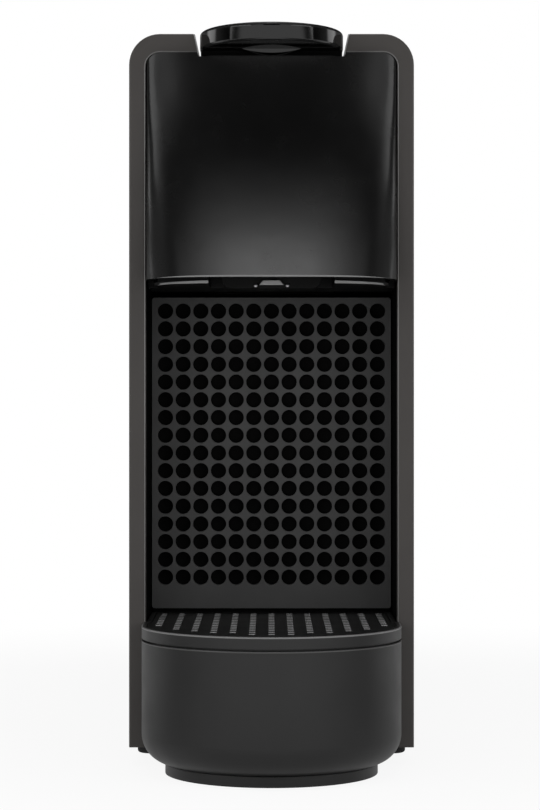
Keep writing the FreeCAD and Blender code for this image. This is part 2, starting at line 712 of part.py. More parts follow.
def nose_wire(z, inset, points):
    # Front line of the head at height z, flat in the middle and rolled in at its ends, closed behind.
    half = FASCIA_HALF - inset
    edge_y = FRONT_Y + NOSE_EDGE + inset
    back_y = FRONT_Y + FASCIA_RETURN + (CUT if inset else 0)
    line = []
    for i in range(points + 1):
        turn = math.pi * (i / points - 0.5)
        across = abs(math.sin(turn)) ** (2 / NOSE_SQUARE)
        ahead = abs(math.cos(turn)) ** (2 / NOSE_SQUARE) if 0 < i < points else 0.0
        line.append(Vector(math.copysign(half * across, turn), edge_y - bulge(z) * ahead, z))
    front = Part.BSplineCurve()
    front.interpolate(line)
    edges = [front.toShape()]
    corners = [line[-1], Vector(half, back_y, z), Vector(-half, back_y, z), line[0]]
    for a, b in zip(corners, corners[1:]):
        edges.append(Part.LineSegment(a, b).toShape())
    return Part.Wire(edges)


def nose_loft(inset, low, high, points):
    steps = points // 4
    levels = [low + (high - low) * i / steps for i in range(steps + 1)]
    return Part.makeLoft([nose_wire(z, inset, points) for z in levels], True, False)


def front_fascia():
    outer = nose_loft(0, FASCIA_BOTTOM, FASCIA_TOP, NOSE_POINTS)
    inner = nose_loft(FASCIA_WALL, FASCIA_BOTTOM - CUT, FASCIA_TOP - FASCIA_WALL, NOSE_POINTS_IN)
    fascia = outer.cut(inner)
    corner = CORNER_R - FRAME_FACE - GAP
    fascia = fascia.common(arch(FASCIA_HALF, FASCIA_TOP, corner, TRAY_TIP_Y, FRONT_Y + 2 * FASCIA_RETURN))
    fascia = fascia.cut(lever_slot())
    return fascia


def head_underplate():
    # Plate under the head: a visible front rim and an inset step inside the fascia.
    rim = nose_loft_flat(FASCIA_WALL + 0.6, UNDER_LOW, UNDER_STEP)
    step = nose_loft_flat(FASCIA_WALL + 1.4, UNDER_STEP, FASCIA_BOTTOM + 2.0)
    plate = rim.fuse(step)
    open_half = OUTLET_HALF + 3.5
    gate = box(-open_half, open_half, TRAY_TIP_Y, OUTLET_Y + 11.0, UNDER_LOW - CUT, FASCIA_BOTTOM + 3.0)
    rear = box(-FASCIA_HALF, FASCIA_HALF, FASCIA_BACK_Y + GAP, PANEL_Y + 1.6, UNDER_LOW, FASCIA_BOTTOM + 2.0)
    return plate.cut(gate).fuse(rear).removeSplitter()


def nose_loft_flat(inset, low, high):
    wire = nose_wire(FASCIA_BOTTOM, inset, NOSE_POINTS_IN)
    wire.translate(Vector(0, 0, low - FASCIA_BOTTOM))
    return Part.Face(wire).extrude(Vector(0, 0, high - low))


def coffee_outlet():
    half = OUTLET_HALF
    y0 = OUTLET_Y - 6.0
    y1 = OUTLET_Y + 9.0
    top = FASCIA_BOTTOM + 2.0
    sides = [(-half, OUTLET_LOW, 3.0), (half, OUTLET_LOW, 3.0), (half, top, 0), (-half, top, 0)]
    bowl = front_prism(sides, y0, y1)
    inner = front_prism(
        [
            (-half + 1.6, OUTLET_LOW + 1.4, 2.0), (half - 1.6, OUTLET_LOW + 1.4, 2.0),
            (half - 1.6, top + CUT, 0), (-half + 1.6, top + CUT, 0),
        ],
        y0 + 1.4, y1 - 1.4,
    )
    spout = rod(0, OUTLET_Y, OUTLET_LOW, Z_AXIS, 4.4, top - OUTLET_LOW)
    lip_low = OUTLET_LOW + 0.7
    lip_top = lip_low + 1.5
    wedge = [(-3.6, lip_low, 0), (3.6, lip_low, 0), (2.4, lip_top, 0), (-2.4, lip_top, 0)]
    lip = front_prism(wedge, y0 - 1.2, y0)
    outlet = bowl.cut(inner).fuse(spout).fuse(lip)
    for x in (-2.2, 2.2):
        outlet = outlet.cut(rod(x, OUTLET_Y, OUTLET_LOW - CUT, Z_AXIS, 1.3, 20.0))
    return outlet


def coffee_funnel():
    # Open trough that takes the coffee from the sliding snout to the outlet.
    low = FASCIA_BOTTOM + 2.0
    high = BREW_Z - CAGE_R - GAP
    back = CHAMBER_FRONT_Y - SNOUT_L + 9.0
    front = OUTLET_Y - 5.5
    trough = box(-9.0, 9.0, front, back, low, high)
    inner = side_prism(
        [
            (front + 1.6, low + 1.4, 0), (back - 1.6, low + 3.0, 0),
            (back - 1.6, high + CUT, 0), (front + 1.6, high + CUT, 0),
        ],
        -7.4, 7.4,
    )
    trough = trough.cut(inner)
    for x in (-2.2, 2.2):
        trough = trough.cut(rod(x, OUTLET_Y, low - CUT, Z_AXIS, 1.3, 4.0))
    return trough


# Tray module


def tray_face(inset, z):
    # Half-round front, straight sides to the frame, narrower inside the body.
    r = TRAY_R - inset
    inner = TRAY_IN_HALF - inset
    step_y = FRONT_Y - GAP - inset
    back_y = PANEL_Y + PANEL_T - GAP - inset
    corners = [
        Vector(r, TRAY_AXIS_Y, z), Vector(r, step_y, z), Vector(inner, step_y, z), Vector(inner, back_y, z),
        Vector(-inner, back_y, z), Vector(-inner, step_y, z), Vector(-r, step_y, z), Vector(-r, TRAY_AXIS_Y, z),
    ]
    edges = [Part.Arc(corners[-1], Vector(0, TRAY_AXIS_Y - r, z), corners[0]).toShape()]
    for a, b in zip(corners, corners[1:]):
        edges.append(Part.LineSegment(a, b).toShape())
    return Part.Face(Part.Wire(edges))


def tray_block(inset, low, high, fillet):
    block = tray_face(inset, low).extrude(Vector(0, 0, high - low))
    return rounded(
        block, fillet,
        lambda b: b.ZMax < low + 0.01 and b.YMax < FRONT_Y and b.YMin < FRONT_Y - GAP - inset - 0.01,
    )


def drip_tray():
    floor = TRAY_BOTTOM + TRAY_WALL
    high = SEAM_Z
    block = tray_block(0, TRAY_BOTTOM, high, TRAY_FILLET)
    tray = block.cut(tray_block(TRAY_WALL, floor, high + 20.0, TRAY_FILLET - TRAY_WALL))
    under = box(-HALF_W, HALF_W, FRONT_Y - GAP, 0, 0, BASE_TOP + SLIDE_GAP)
    half = TRAY_IN_HALF
    back_y = PANEL_Y + PANEL_T - GAP
    step_y = FRONT_Y - GAP - TRAY_WALL
    sole_low = BASE_TOP + SLIDE_GAP
    sole = box(-half, half, step_y, back_y, sole_low, sole_low + TRAY_WALL)
    riser = box(-half, half, step_y, FRONT_Y - GAP, floor - CUT, sole_low + TRAY_WALL).common(block)
    return tray.cut(under).fuse(sole).fuse(riser).removeSplitter()


def tray_prism(inset, low, high):
    return tray_face(inset, low).extrude(Vector(0, 0, high - low))


def tray_ring():
    ledge_top = GRID_TOP - GRID_T - 0.05
    ring = tray_prism(0, SEAM_Z + SEAM_H, RING_TOP).cut(tray_prism(RING_WALL, ledge_top, RING_TOP + CUT))
    ring = ring.cut(tray_prism(LEDGE_W, SEAM_Z, RING_TOP))
    spigot = tray_prism(1.0, SEAM_Z, SEAM_Z + SEAM_H).cut(tray_prism(LEDGE_W, SEAM_Z - CUT, RING_TOP))
    lip = tray_prism(TRAY_WALL + 0.2, SEAM_Z - 2.0, SEAM_Z).cut(tray_prism(LEDGE_W, SEAM_Z - 3.0, RING_TOP))
    return ring.fuse(spigot).fuse(lip).removeSplitter()


def tray_foot():
    ring = rod(0, TRAY_AXIS_Y, 0, Z_AXIS, FOOT_RING_R, TRAY_BOTTOM)
    ring = ring.cut(rod(0, TRAY_AXIS_Y, -CUT, Z_AXIS, FOOT_RING_R - 5.0, TRAY_BOTTOM + 2 * CUT))
    return ring


def dot_columns():
    return [DOT_PITCH_X * i for i in range(-DOTS_ASIDE, DOTS_ASIDE + 1)]


def pierced(outer, circles, travel):
    face = Part.makeFace([outer] + circles, "Part::FaceMakerBullseye")
    return face.extrude(travel)


def dot_panel():
    half = TRAY_IN_HALF
    corners = [(-half, PANEL_BOTTOM), (half, PANEL_BOTTOM), (half, PANEL_TOP), (-half, PANEL_TOP)]
    outer = rounded_wire([(Vector(x, PANEL_Y, z), 0.8) for x, z in corners])
    circles = []
    for row in range(DOT_ROWS):
        for x in dot_columns():
            spot = Vector(x, PANEL_Y, DOT_TOP_Z - row * DOT_PITCH_Z)
            circles.append(Part.Wire(Part.makeCircle(DOT_D / 2, spot, Y_AXIS)))
    return pierced(outer, circles, Vector(0, PANEL_T, 0))


def capsule_container():
    half = CONTAINER_HALF
    y0 = PANEL_Y + PANEL_T
    low = BASE_TOP + SLIDE_GAP
    w = CONTAINER_WALL
    body = box(-half, half, y0, CONTAINER_BACK_Y, low, CONTAINER_TOP)
    body = body.fuse(box(-half, half, y0, y0 + w, CONTAINER_TOP, PANEL_TOP))
    body = body.cut(box(-half + w, half - w, y0 + w, CONTAINER_BACK_Y - w, low + w, PANEL_TOP + CUT))
    return body.removeSplitter()


def cup_grid():
    inset = RING_WALL + SLIDE_GAP
    low = GRID_TOP - GRID_T
    outer = tray_face(inset, low).OuterWire
    reach = TRAY_R - inset - GRID_MARGIN
    first_y = PANEL_Y - GRID_MARGIN - 1.0
    slots = []
    for x in dot_columns():
        front_y = TRAY_AXIS_Y - math.sqrt(reach * reach - x * x)
        for i in range(1 + int((first_y - SLOT_L / 2 - front_y) / GRID_PITCH_Y)):
            slots.append(grid_slot(x, first_y - i * GRID_PITCH_Y, low))
    return pierced(outer, slots, Vector(0, 0, GRID_T))


def grid_slot(x, y, z):
    corners = [
        (x - SLOT_W / 2, y - SLOT_L / 2), (x + SLOT_W / 2, y - SLOT_L / 2),
        (x + SLOT_W / 2, y + SLOT_L / 2), (x - SLOT_W / 2, y + SLOT_L / 2),
    ]
    return rounded_wire([(Vector(a, b, z), 0.5) for a, b in corners])


# Tank with its valve, and the dock it stands on


def water_tank():
    hollow = tank_plan(TANK_WALL, TANK_BOTTOM + TANK_WALL, TANK_TOP + CUT)
    tank = tank_plan(0, TANK_BOTTOM, TANK_TOP).cut(hollow)
    neck = rod(VALVE_X, VALVE_Y, TANK_BOTTOM - NECK_L, Z_AXIS, NECK_R, NECK_L + 0.5)
    bore = rod(VALVE_X, VALVE_Y, TANK_BOTTOM - NECK_L - CUT, Z_AXIS, VALVE_BORE_R, NECK_L + TANK_WALL + 2 * CUT)
    return tank.fuse(neck).cut(bore).removeSplitter()


def valve_cap():
    cap = tube(VALVE_X, VALVE_Y, VALVE_SEAT_Z, Z_AXIS, CAP_R, CAP_R - CAP_WALL, CAP_H)
    lid = rod(VALVE_X, VALVE_Y, VALVE_SEAT_Z + CAP_H - CAP_WALL, Z_AXIS, CAP_R, CAP_WALL)
    cap = cap.fuse(lid).removeSplitter()
    for i in range(6):
        slot = box(
            VALVE_X - 1.5, VALVE_X + 1.5, VALVE_Y, VALVE_Y + 2 * CAP_R,
            VALVE_SEAT_Z + 2.0, VALVE_SEAT_Z + CAP_H - 4.0,
        )
        slot.rotate(Vector(VALVE_X, VALVE_Y, 0), Z_AXIS, 60.0 * i)
        cap = cap.cut(slot)
    return cap


def valve_poppet():
    head = rod(VALVE_X, VALVE_Y, VALVE_SEAT_Z + 0.05, Z_AXIS, VALVE_BORE_R + 1.6, POPPET_H)
    stem = rod(VALVE_X, VALVE_Y, VALVE_SEAT_Z - 4.0, Z_AXIS, VALVE_BORE_R - 1.4, 4.5)
    return head.fuse(stem)


def valve_spring():
    low = VALVE_SEAT_Z + POPPET_H + 0.05 + SPRING_WIRE
    high = VALVE_SEAT_Z + CAP_H - CAP_WALL - SPRING_WIRE - 0.05
    helix = Part.makeHelix((high - low) / SPRING_TURNS, high - low, SPRING_R)
    ring = Part.Wire(Part.makeCircle(SPRING_WIRE, Vector(SPRING_R, 0, 0), Y_AXIS))
    coil = Part.Wire(helix.Edges).makePipeShell([ring], True, True)
    coil.translate(Vector(VALVE_X, VALVE_Y, low))
    return coil


def tank_lid():
    low = TANK_TOP + GAP
    lid = tank_plan(0, low, LID_TOP)
    lid = rounded(lid, 1.6, lambda b: b.ZMin > LID_TOP - 0.01)
    lid = lid.cut(tank_plan(TANK_WALL, low - CUT, LID_TOP - TANK_WALL))
    skirt = tank_plan(TANK_WALL + SLIDE_GAP, TANK_TOP - LID_SKIRT, low + 2.0)
    skirt = skirt.cut(tank_plan(2 * TANK_WALL, TANK_TOP - LID_SKIRT - CUT, low + 3.0))
    web = tank_plan(TANK_WALL - 0.5, low, low + 2.0).cut(tank_plan(2 * TANK_WALL, low - CUT, low + 3.0))
    grip = box(-14.0, 14.0, TANK_BACK_Y - 26.0, TANK_BACK_Y - 16.0, LID_TOP - 1.4, LID_TOP + CUT)
    return lid.fuse(skirt).fuse(web).cut(grip).removeSplitter()


def tank_dock():
    dock = rod(VALVE_X, VALVE_Y, BASE_TOP, Z_AXIS, DOCK_R, PLATFORM_TOP - BASE_TOP)
    cup = rod(VALVE_X, VALVE_Y, TANK_BOTTOM - NECK_L - 1.0, Z_AXIS, SEAL_R, 20.0)
    nipple = rod(VALVE_X, VALVE_Y - DOCK_R - 8.0, HOSE_Z, Y_AXIS, NIPPLE_R, 10.0)
    bore = rod(VALVE_X, VALVE_Y - DOCK_R - 9.0, HOSE_Z, Y_AXIS, WATER_BORE_R, DOCK_R + 9.0)
    rise = rod(VALVE_X, VALVE_Y, HOSE_Z, Z_AXIS, 1.5, TANK_BOTTOM - HOSE_Z)
    return dock.fuse(nipple).cut(cup).cut(bore).cut(rise)


def dock_seal():
    return tube(VALVE_X, VALVE_Y, TANK_BOTTOM - NECK_L + 0.6, Z_AXIS, SEAL_R, NECK_R + SLIDE_GAP, 2.0)


# Water path inside the body


def flow_meter_case():
    case = rod(METER_X, METER_Y, BASE_TOP, Z_AXIS, METER_R, METER_H)
    case = case.cut(rod(METER_X, METER_Y, BASE_TOP + 2.0, Z_AXIS, METER_R - 2.0, METER_H))
    axle = rod(METER_X, METER_Y, BASE_TOP, Z_AXIS, 1.0, METER_H - 1.0)
    inlet = rod(METER_X, METER_Y + METER_R - 1.0, HOSE_Z, Y_AXIS, NIPPLE_R, 7.0)
    outlet = rod(METER_X, METER_Y - METER_R - 6.0, HOSE_Z, Y_AXIS, NIPPLE_R, 7.0)
    bores = [rod(METER_X, METER_Y - 2 * METER_R, HOSE_Z, Y_AXIS, WATER_BORE_R, 2 * METER_R - 6.0)]
    bores.append(rod(METER_X, METER_Y + 6.0, HOSE_Z, Y_AXIS, WATER_BORE_R, 2 * METER_R))
    return case.fuse(axle).fuse(inlet).fuse(outlet).cut(bores)


def flow_meter_cover():
    return rod(METER_X, METER_Y, BASE_TOP + METER_H, Z_AXIS, METER_R, 2.0)


def flow_wheel():
    low = BASE_TOP + 2.0 + SLIDE_GAP
    high = METER_H - 3.0
    wheel = rod(METER_X, METER_Y, low, Z_AXIS, 2.6, high)
    for i in range(6):
        vane = box(METER_X - 0.5, METER_X + 0.5, METER_Y, METER_Y + METER_R - 2.8, low, low + high)
        vane.rotate(Vector(METER_X, METER_Y, 0), Z_AXIS, 60.0 * i)
        wheel = wheel.fuse(vane)
    return wheel.cut(rod(METER_X, METER_Y, low - CUT, Z_AXIS, 1.0 + RUN_FIT, high + 2 * CUT)).removeSplitter()


def pump_cylinder():
    end_y = PUMP_FRONT_Y + PUMP_L
    body = tube(0, PUMP_FRONT_Y, PUMP_Z, Y_AXIS, PUMP_TUBE_R, PUMP_BORE_R, PUMP_L)
    caps = [rod(0, y, PUMP_Z, Y_AXIS, PUMP_TUBE_R, PUMP_CAP) for y in (PUMP_FRONT_Y, end_y - PUMP_CAP)]
    nipples = [rod(0, y, PUMP_Z, Y_AXIS, NIPPLE_R, 7.0) for y in (PUMP_FRONT_Y - 6.0, end_y - 1.0)]
    for piece in caps + nipples:
        body = body.fuse(piece)
    return body.cut(rod(0, PUMP_FRONT_Y - 9.0, PUMP_Z, Y_AXIS, WATER_BORE_R, PUMP_L + 18.0)).removeSplitter()


def pump_piston():
    return rod(0, PUMP_FRONT_Y + 16.0, PUMP_Z, Y_AXIS, PUMP_BORE_R - RUN_FIT, PUMP_L - 32.0)


def pump_coil():
    coil = box(
        -COIL_HALF, COIL_HALF, COIL_FRONT_Y, COIL_FRONT_Y + COIL_L,
        PUMP_Z - COIL_HALF_H, PUMP_Z + COIL_HALF_H,
    )
    coil = rounded(coil, 3.0, lambda b: b.YLength > COIL_L - 1)
    return coil.cut(rod(0, COIL_FRONT_Y - CUT, PUMP_Z, Y_AXIS, PUMP_TUBE_R, COIL_L + 2 * CUT))


def pump_mounts():
    mounts = []
    for y in (PUMP_FRONT_Y + MOUNT_IN, PUMP_FRONT_Y + PUMP_L - MOUNT_IN - MOUNT_L):
        block = box(-MOUNT_HALF, MOUNT_HALF, y, y + MOUNT_L, BASE_TOP, PUMP_Z)
        mounts.append(block.cut(rod(0, y - CUT, PUMP_Z, Y_AXIS, PUMP_TUBE_R, MOUNT_L + 2 * CUT)))
    return mounts


def thermoblock():
    block = box(-HEATER_HALF, HEATER_HALF, HEATER_FRONT_Y, HEATER_BACK_Y, HEATER_LOW, HEATER_LOW + HEATER_H)
    block = rounded(block, 4.0, lambda b: b.ZLength > HEATER_H - 1)
    for x, y in POST_SPOTS:
        inner = math.copysign(HEATER_HALF - 3.0, x)
        outer = x + math.copysign(POST_R + 0.8, x)
        ear = box(min(inner, outer), max(inner, outer), y - 4.0, y + 4.0, HEATER_LOW, HEATER_LOW + 4.0)
        block = block.fuse(ear)
    inlet = rod(HEATER_IN_X, HEATER_BACK_Y - 1.0, HEATER_MID, Y_AXIS, NIPPLE_R, NIPPLE_OUT + 1.0)
    outlet = rod(0, BREW_HOSE_Y, HEATER_LOW + HEATER_H - 1.0, Z_AXIS, NIPPLE_R, 9.0)
    block = block.fuse(inlet).fuse(outlet)
    for x in (-HEATER_HALF + 8.0, HEATER_HALF - 8.0):
        block = block.fuse(rod(x, HEATER_FRONT_Y - 9.0, HEATER_MID, Y_AXIS, 3.0, 10.0))
    return block.removeSplitter()


def thermal_fuses():
    top = HEATER_LOW + HEATER_H
    fuses = []
    for y in (HEATER_FRONT_Y + 28.0, HEATER_BACK_Y - 10.0):
        fuses.append(rod(0, y, top, Z_AXIS, 7.0, 5.0).fuse(box(-11.0, 11.0, y - 3.0, y + 3.0, top, top + 1.2)))
    return fuses


def thermoblock_posts():
    return [
        rod(x, y, BASE_TOP, Z_AXIS, POST_R, HEATER_LOW - BASE_TOP).cut(
            rod(x, y, BASE_TOP, Z_AXIS, SCREW_R, SCREW_L - BASE_T)
        )
        for x, y in POST_SPOTS
    ]


def chassis_screws():
    screws = []
    for x, y in POST_SPOTS:
        head = rod(x, y, FOOT_H - SCREW_HEAD_H, Z_AXIS, SCREW_HEAD_R, SCREW_HEAD_H)
        screws.append(head.fuse(rod(x, y, FOOT_H - 1.0, Z_AXIS, SCREW_R, SCREW_L + 1.0)).removeSplitter())
    return screws


def inlet_hose():
    return hose([Vector(VALVE_X, METER_Y + METER_R, HOSE_Z), Vector(VALVE_X, VALVE_Y - DOCK_R - 0.5, HOSE_Z)])


def pump_hose():
    ahead = PUMP_FRONT_Y - 16.0
    return hose([
        Vector(METER_X, METER_Y - METER_R, HOSE_Z),
        Vector(METER_X, ahead, HOSE_Z),
        Vector(0, ahead, PUMP_Z),
        Vector(0, PUMP_FRONT_Y, PUMP_Z),
    ])


def pressure_hose():
    behind = max(PUMP_FRONT_Y + PUMP_L, HEATER_BACK_Y) + HOSE_BEND + NIPPLE_OUT + GAP
    return hose([
        Vector(0, PUMP_FRONT_Y + PUMP_L, PUMP_Z),
        Vector(0, behind, PUMP_Z),
        Vector(HEATER_IN_X, behind, HEATER_MID),
        Vector(HEATER_IN_X, HEATER_BACK_Y, HEATER_MID),
    ])


def brew_hose():
    return hose([
        Vector(0, BREW_HOSE_Y, HEATER_LOW + HEATER_H),
        Vector(0, BREW_HOSE_Y, BREW_Z),
        Vector(0, CAGE_BACK_Y + INJECTOR_L, BREW_Z),
    ])


# Controls


def button(x):
    cap = rod(x, BUTTON_Y, SKIN_Z - 3.0, Z_AXIS, BUTTON_R, BODY_TOP + BUTTON_PROUD - SKIN_Z + 3.0)
    cap = rounded(cap, 0.6, lambda b: b.ZMin > BODY_TOP + BUTTON_PROUD - 0.01)
    flange = rod(x, BUTTON_Y, SKIN_Z - 3.0, Z_AXIS, BUTTON_R + 1.4, 2.6)
    stem_low = SWITCH_TOP + BUTTON_TRAVEL + 0.1
    stem = rod(x, BUTTON_Y, stem_low, Z_AXIS, STEM_R, SKIN_Z - 3.0 - stem_low)
    return cap.fuse(flange).fuse(stem).removeSplitter()


def button_board():
    half = BUTTON_BOARD_HALF
    return box(-half, half, BUTTON_Y - 9.0, SHELL_BACK_Y - 6.0, BUTTON_BOARD_Z, BUTTON_BOARD_Z + BOARD_T)


def tact_switches():
    switches = []
    low = BUTTON_BOARD_Z + BOARD_T
    for x in (-BUTTON_X, BUTTON_X):
        half = SWITCH_HALF
        case = box(x - half, x + half, BUTTON_Y - half, BUTTON_Y + half, low, SWITCH_TOP - 1.2)
        switches.append(case.fuse(rod(x, BUTTON_Y, SWITCH_TOP - 1.2, Z_AXIS, 1.8, 1.2)))
    return switches


def board_holes():
    ys = (PCB_Y0 + PCB_HOLE_IN, PCB_Y1 - PCB_HOLE_IN)
    zs = (PCB_Z0 + PCB_HOLE_IN, PCB_Z1 - PCB_HOLE_IN)
    return [(y, z) for y in ys for z in zs]


def circuit_board():
    board = box(PCB_IN, PCB_IN + BOARD_T, PCB_Y0, PCB_Y1, PCB_Z0, PCB_Z1)
    return board.cut([rod(PCB_IN - CUT, y, z, X_AXIS, PCB_HOLE_R, BOARD_T + 2 * CUT) for y, z in board_holes()])


def board_parts():
    face = PCB_IN + BOARD_T
    parts = []
    for y, z, length, height, depth in (RELAY, SUPPLY, PLUG):
        parts.append(box(face, face + depth, PCB_Y0 + y, PCB_Y0 + y + length, PCB_Z0 + z, PCB_Z0 + z + height))
    for y in CAPACITOR_Y:
        parts.append(rod(face, PCB_Y0 + y, PCB_Z0 + CAPACITOR_Z, X_AXIS, CAPACITOR_R, CAPACITOR_L))
    return parts


def board_bracket():
    # Two rails on the rear wall, with standoffs that carry the board.
    face = PCB_IN - STANDOFF_L
    wall_y = SHELL_BACK_Y - REAR_WALL_T
    bracket = box(face - RAIL_T, face, PCB_Y0, wall_y, PCB_Z0, PCB_Z0 + RAIL_H)
    bracket = bracket.fuse(box(face - RAIL_T, face, PCB_Y0, wall_y, PCB_Z1 - RAIL_H, PCB_Z1))
    for y, z in board_holes():
        bracket = bracket.fuse(rod(face, y, z, X_AXIS, STANDOFF_R, STANDOFF_L))
    return bracket


def cord_gland():
    wall = SHELL_WALL
    tube_part = tube(GLAND_X, TANK_BACK_Y - 3 * wall, GLAND_Z, Y_AXIS, GLAND_R, GLAND_R - GLAND_WALL, 3 * wall)
    flange = tube(GLAND_X, TANK_BACK_Y - 2 * wall, GLAND_Z, Y_AXIS, GLAND_R + 0.8, GLAND_R - GLAND_WALL, wall)
    return tube_part.fuse(flange)


def rubber_feet():
    feet = []
    for x, y in FOOT_SPOTS:
        foot = rod(x, y, 0, Z_AXIS, FOOT_R, FOOT_H)
        feet.append(rounded(foot, 0.8, lambda b: b.ZMax < 0.01))
    return feet


os.makedirs("parts", exist_ok=True)
save("outer_shell", outer_shell())
save("base_chassis", base_chassis())
save("rear_wall", rear_wall())
save("bay_side_walls", *bay_side_walls())
save("brew_floor", brew_floor())
save("brew_side_plates", *brew_side_plates())
save("lever_bushes", *lever_bushes())
save("top_deck", top_deck())
save("cage_carrier", cage_carrier())
save("capsule_cage", capsule_cage())
save("piercing_blades", piercing_blades())
save("chamber_block", chamber_block())
save("extraction_plate", extraction_plate())
save("chamber_seal", chamber_seal())
save("drive_racks", *drive_racks())
save("drive_gears", *drive_gears())
save("lever_shaft", lever_shaft())
save("lever_handle", lever_handle())
save("lever_core", lever_core())
save("front_fascia", front_fascia())
save("head_underplate", head_underplate())
save("coffee_outlet", coffee_outlet())
save("coffee_funnel", coffee_funnel())
save("drip_tray", drip_tray())
save("tray_ring", tray_ring())
save("tray_foot", tray_foot())
save("dot_panel", dot_panel())
save("capsule_container", capsule_container())
save("cup_grid", cup_grid())
save("water_tank", water_tank())
save("valve_cap", valve_cap())
save("valve_poppet", valve_poppet())
save("valve_spring", valve_spring())
save("tank_lid", tank_lid())
save("tank_dock", tank_dock())
save("dock_seal", dock_seal())
save("flow_meter_case", flow_meter_case())
save("flow_meter_cover", flow_meter_cover())
save("flow_wheel", flow_wheel())
save("pump_cylinder", pump_cylinder())
save("pump_piston", pump_piston())
save("pump_coil", pump_coil())
save("pump_mounts", *pump_mounts())
save("thermoblock", thermoblock())
save("thermal_fuses", *thermal_fuses())
save("thermoblock_posts", *thermoblock_posts())
save("chassis_screws", *chassis_screws())
save("inlet_hose", inlet_hose())
save("pump_hose", pump_hose())
save("pressure_hose", pressure_hose())
save("brew_hose", brew_hose())
save("small_cup_button", button(-BUTTON_X))
save("large_cup_button", button(BUTTON_X))
save("button_board", button_board())
save("tact_switches", *tact_switches())
save("circuit_board", circuit_board())
save("board_parts", *board_parts())
save("board_bracket", board_bracket())
save("cord_gland", cord_gland())
save("rubber_feet", *rubber_feet())
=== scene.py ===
import math

import bmesh
import bpy
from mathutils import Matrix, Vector


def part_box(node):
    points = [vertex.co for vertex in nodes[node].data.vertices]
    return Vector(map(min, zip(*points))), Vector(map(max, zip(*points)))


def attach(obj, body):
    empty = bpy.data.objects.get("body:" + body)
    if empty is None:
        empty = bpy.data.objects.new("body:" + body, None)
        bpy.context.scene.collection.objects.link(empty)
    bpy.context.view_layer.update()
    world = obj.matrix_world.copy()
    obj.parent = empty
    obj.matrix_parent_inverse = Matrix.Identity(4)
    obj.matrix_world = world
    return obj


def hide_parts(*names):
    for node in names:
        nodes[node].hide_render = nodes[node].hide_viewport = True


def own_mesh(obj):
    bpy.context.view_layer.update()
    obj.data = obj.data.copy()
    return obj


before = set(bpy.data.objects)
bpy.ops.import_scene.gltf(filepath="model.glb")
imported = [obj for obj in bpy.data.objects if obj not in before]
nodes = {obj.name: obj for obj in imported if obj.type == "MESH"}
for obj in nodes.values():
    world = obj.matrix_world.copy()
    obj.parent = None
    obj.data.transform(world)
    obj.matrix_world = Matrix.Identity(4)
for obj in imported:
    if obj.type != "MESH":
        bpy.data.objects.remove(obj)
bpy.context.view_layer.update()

# Pieces are measured in millimetres, the studio in metres
MM = 0.001
SIDES = (("left", -1.0), ("right", 1.0))
UP = (0.0, 0.0, 1.0)


# Materials

NOISE_LOW, NOISE_HIGH = 0.3, 0.7
CLOUD_SIZE = 18.0
PATCH_SIZE = 7.0
PATCH_VARY = 0.08


def linear(grey):
    """Linear value of an sRGB level between 0 and 1."""
    return grey / 12.92 if grey <= 0.04045 else ((grey + 0.055) / 1.055) ** 2.4


def colour(red, green, blue):
    """Linear colour of sRGB levels between 0 and 255."""
    return tuple(linear(level / 255.0) for level in (red, green, blue)) + (1.0,)


def scaled(tint, factor):
    return tuple(min(1.0, channel * factor) for channel in tint[:3]) + (1.0,)


class Graph:
    """Small helper that adds nodes to one material and links them."""

    def __init__(self, name):
        self.material = bpy.data.materials.new(name)
        self.material.use_nodes = True
        self.tree = self.material.node_tree
        self.shader = self.tree.nodes["Principled BSDF"]
        self.place = self.add("ShaderNodeTexCoord").outputs["Object"]

    def add(self, kind, **settings):
        node = self.tree.nodes.new(kind)
        for key, value in settings.items():
            setattr(node, key, value)
        return node

    def link(self, source, target):
        self.tree.links.new(source, target)

    def noise(self, size, detail, stretch=(1.0, 1.0, 1.0)):
        """Noise whose features are about size millimetres wide."""
        mapping = self.add("ShaderNodeMapping")
        mapping.inputs["Scale"].default_value = stretch
        self.link(self.place, mapping.inputs["Vector"])
        noise = self.add("ShaderNodeTexNoise")
        noise.inputs["Scale"].default_value = 1.0 / (size * MM)
        noise.inputs["Detail"].default_value = detail
        self.link(mapping.outputs["Vector"], noise.inputs["Vector"])
        return noise.outputs["Fac"]

    def tinted(self, noise, low, high):
        """Base colour that goes from low to high with a noise value."""
        ramp = self.add("ShaderNodeValToRGB")
        first, last = ramp.color_ramp.elements
        first.position, first.color = NOISE_LOW, low
        last.position, last.color = NOISE_HIGH, high
        self.link(noise, ramp.inputs["Fac"])
        self.link(ramp.outputs["Color"], self.shader.inputs["Base Color"])

    def roughened(self, noise, low, high):
        """Roughness that goes from low to high with a noise value."""
        spread = self.add("ShaderNodeMapRange")
        spread.inputs["From Min"].default_value = NOISE_LOW
        spread.inputs["From Max"].default_value = NOISE_HIGH
        spread.inputs["To Min"].default_value = low
        spread.inputs["To Max"].default_value = high
        self.link(noise, spread.inputs["Value"])
        self.link(spread.outputs["Result"], self.shader.inputs["Roughness"])

    def bump(self, height, depth, edge=0.0):
        """Surface grain depth millimetres deep, on edges softened by edge millimetres."""
        bump = self.add("ShaderNodeBump")
        bump.inputs["Strength"].default_value = 1.0
        bump.inputs["Distance"].default_value = depth * MM
        self.link(height, bump.inputs["Height"])
        if edge:
            bevel = self.add("ShaderNodeBevel", samples=4)
            bevel.inputs["Radius"].default_value = edge * MM
            self.link(bevel.outputs["Normal"], bump.inputs["Normal"])
        self.link(bump.outputs["Normal"], self.shader.inputs["Normal"])


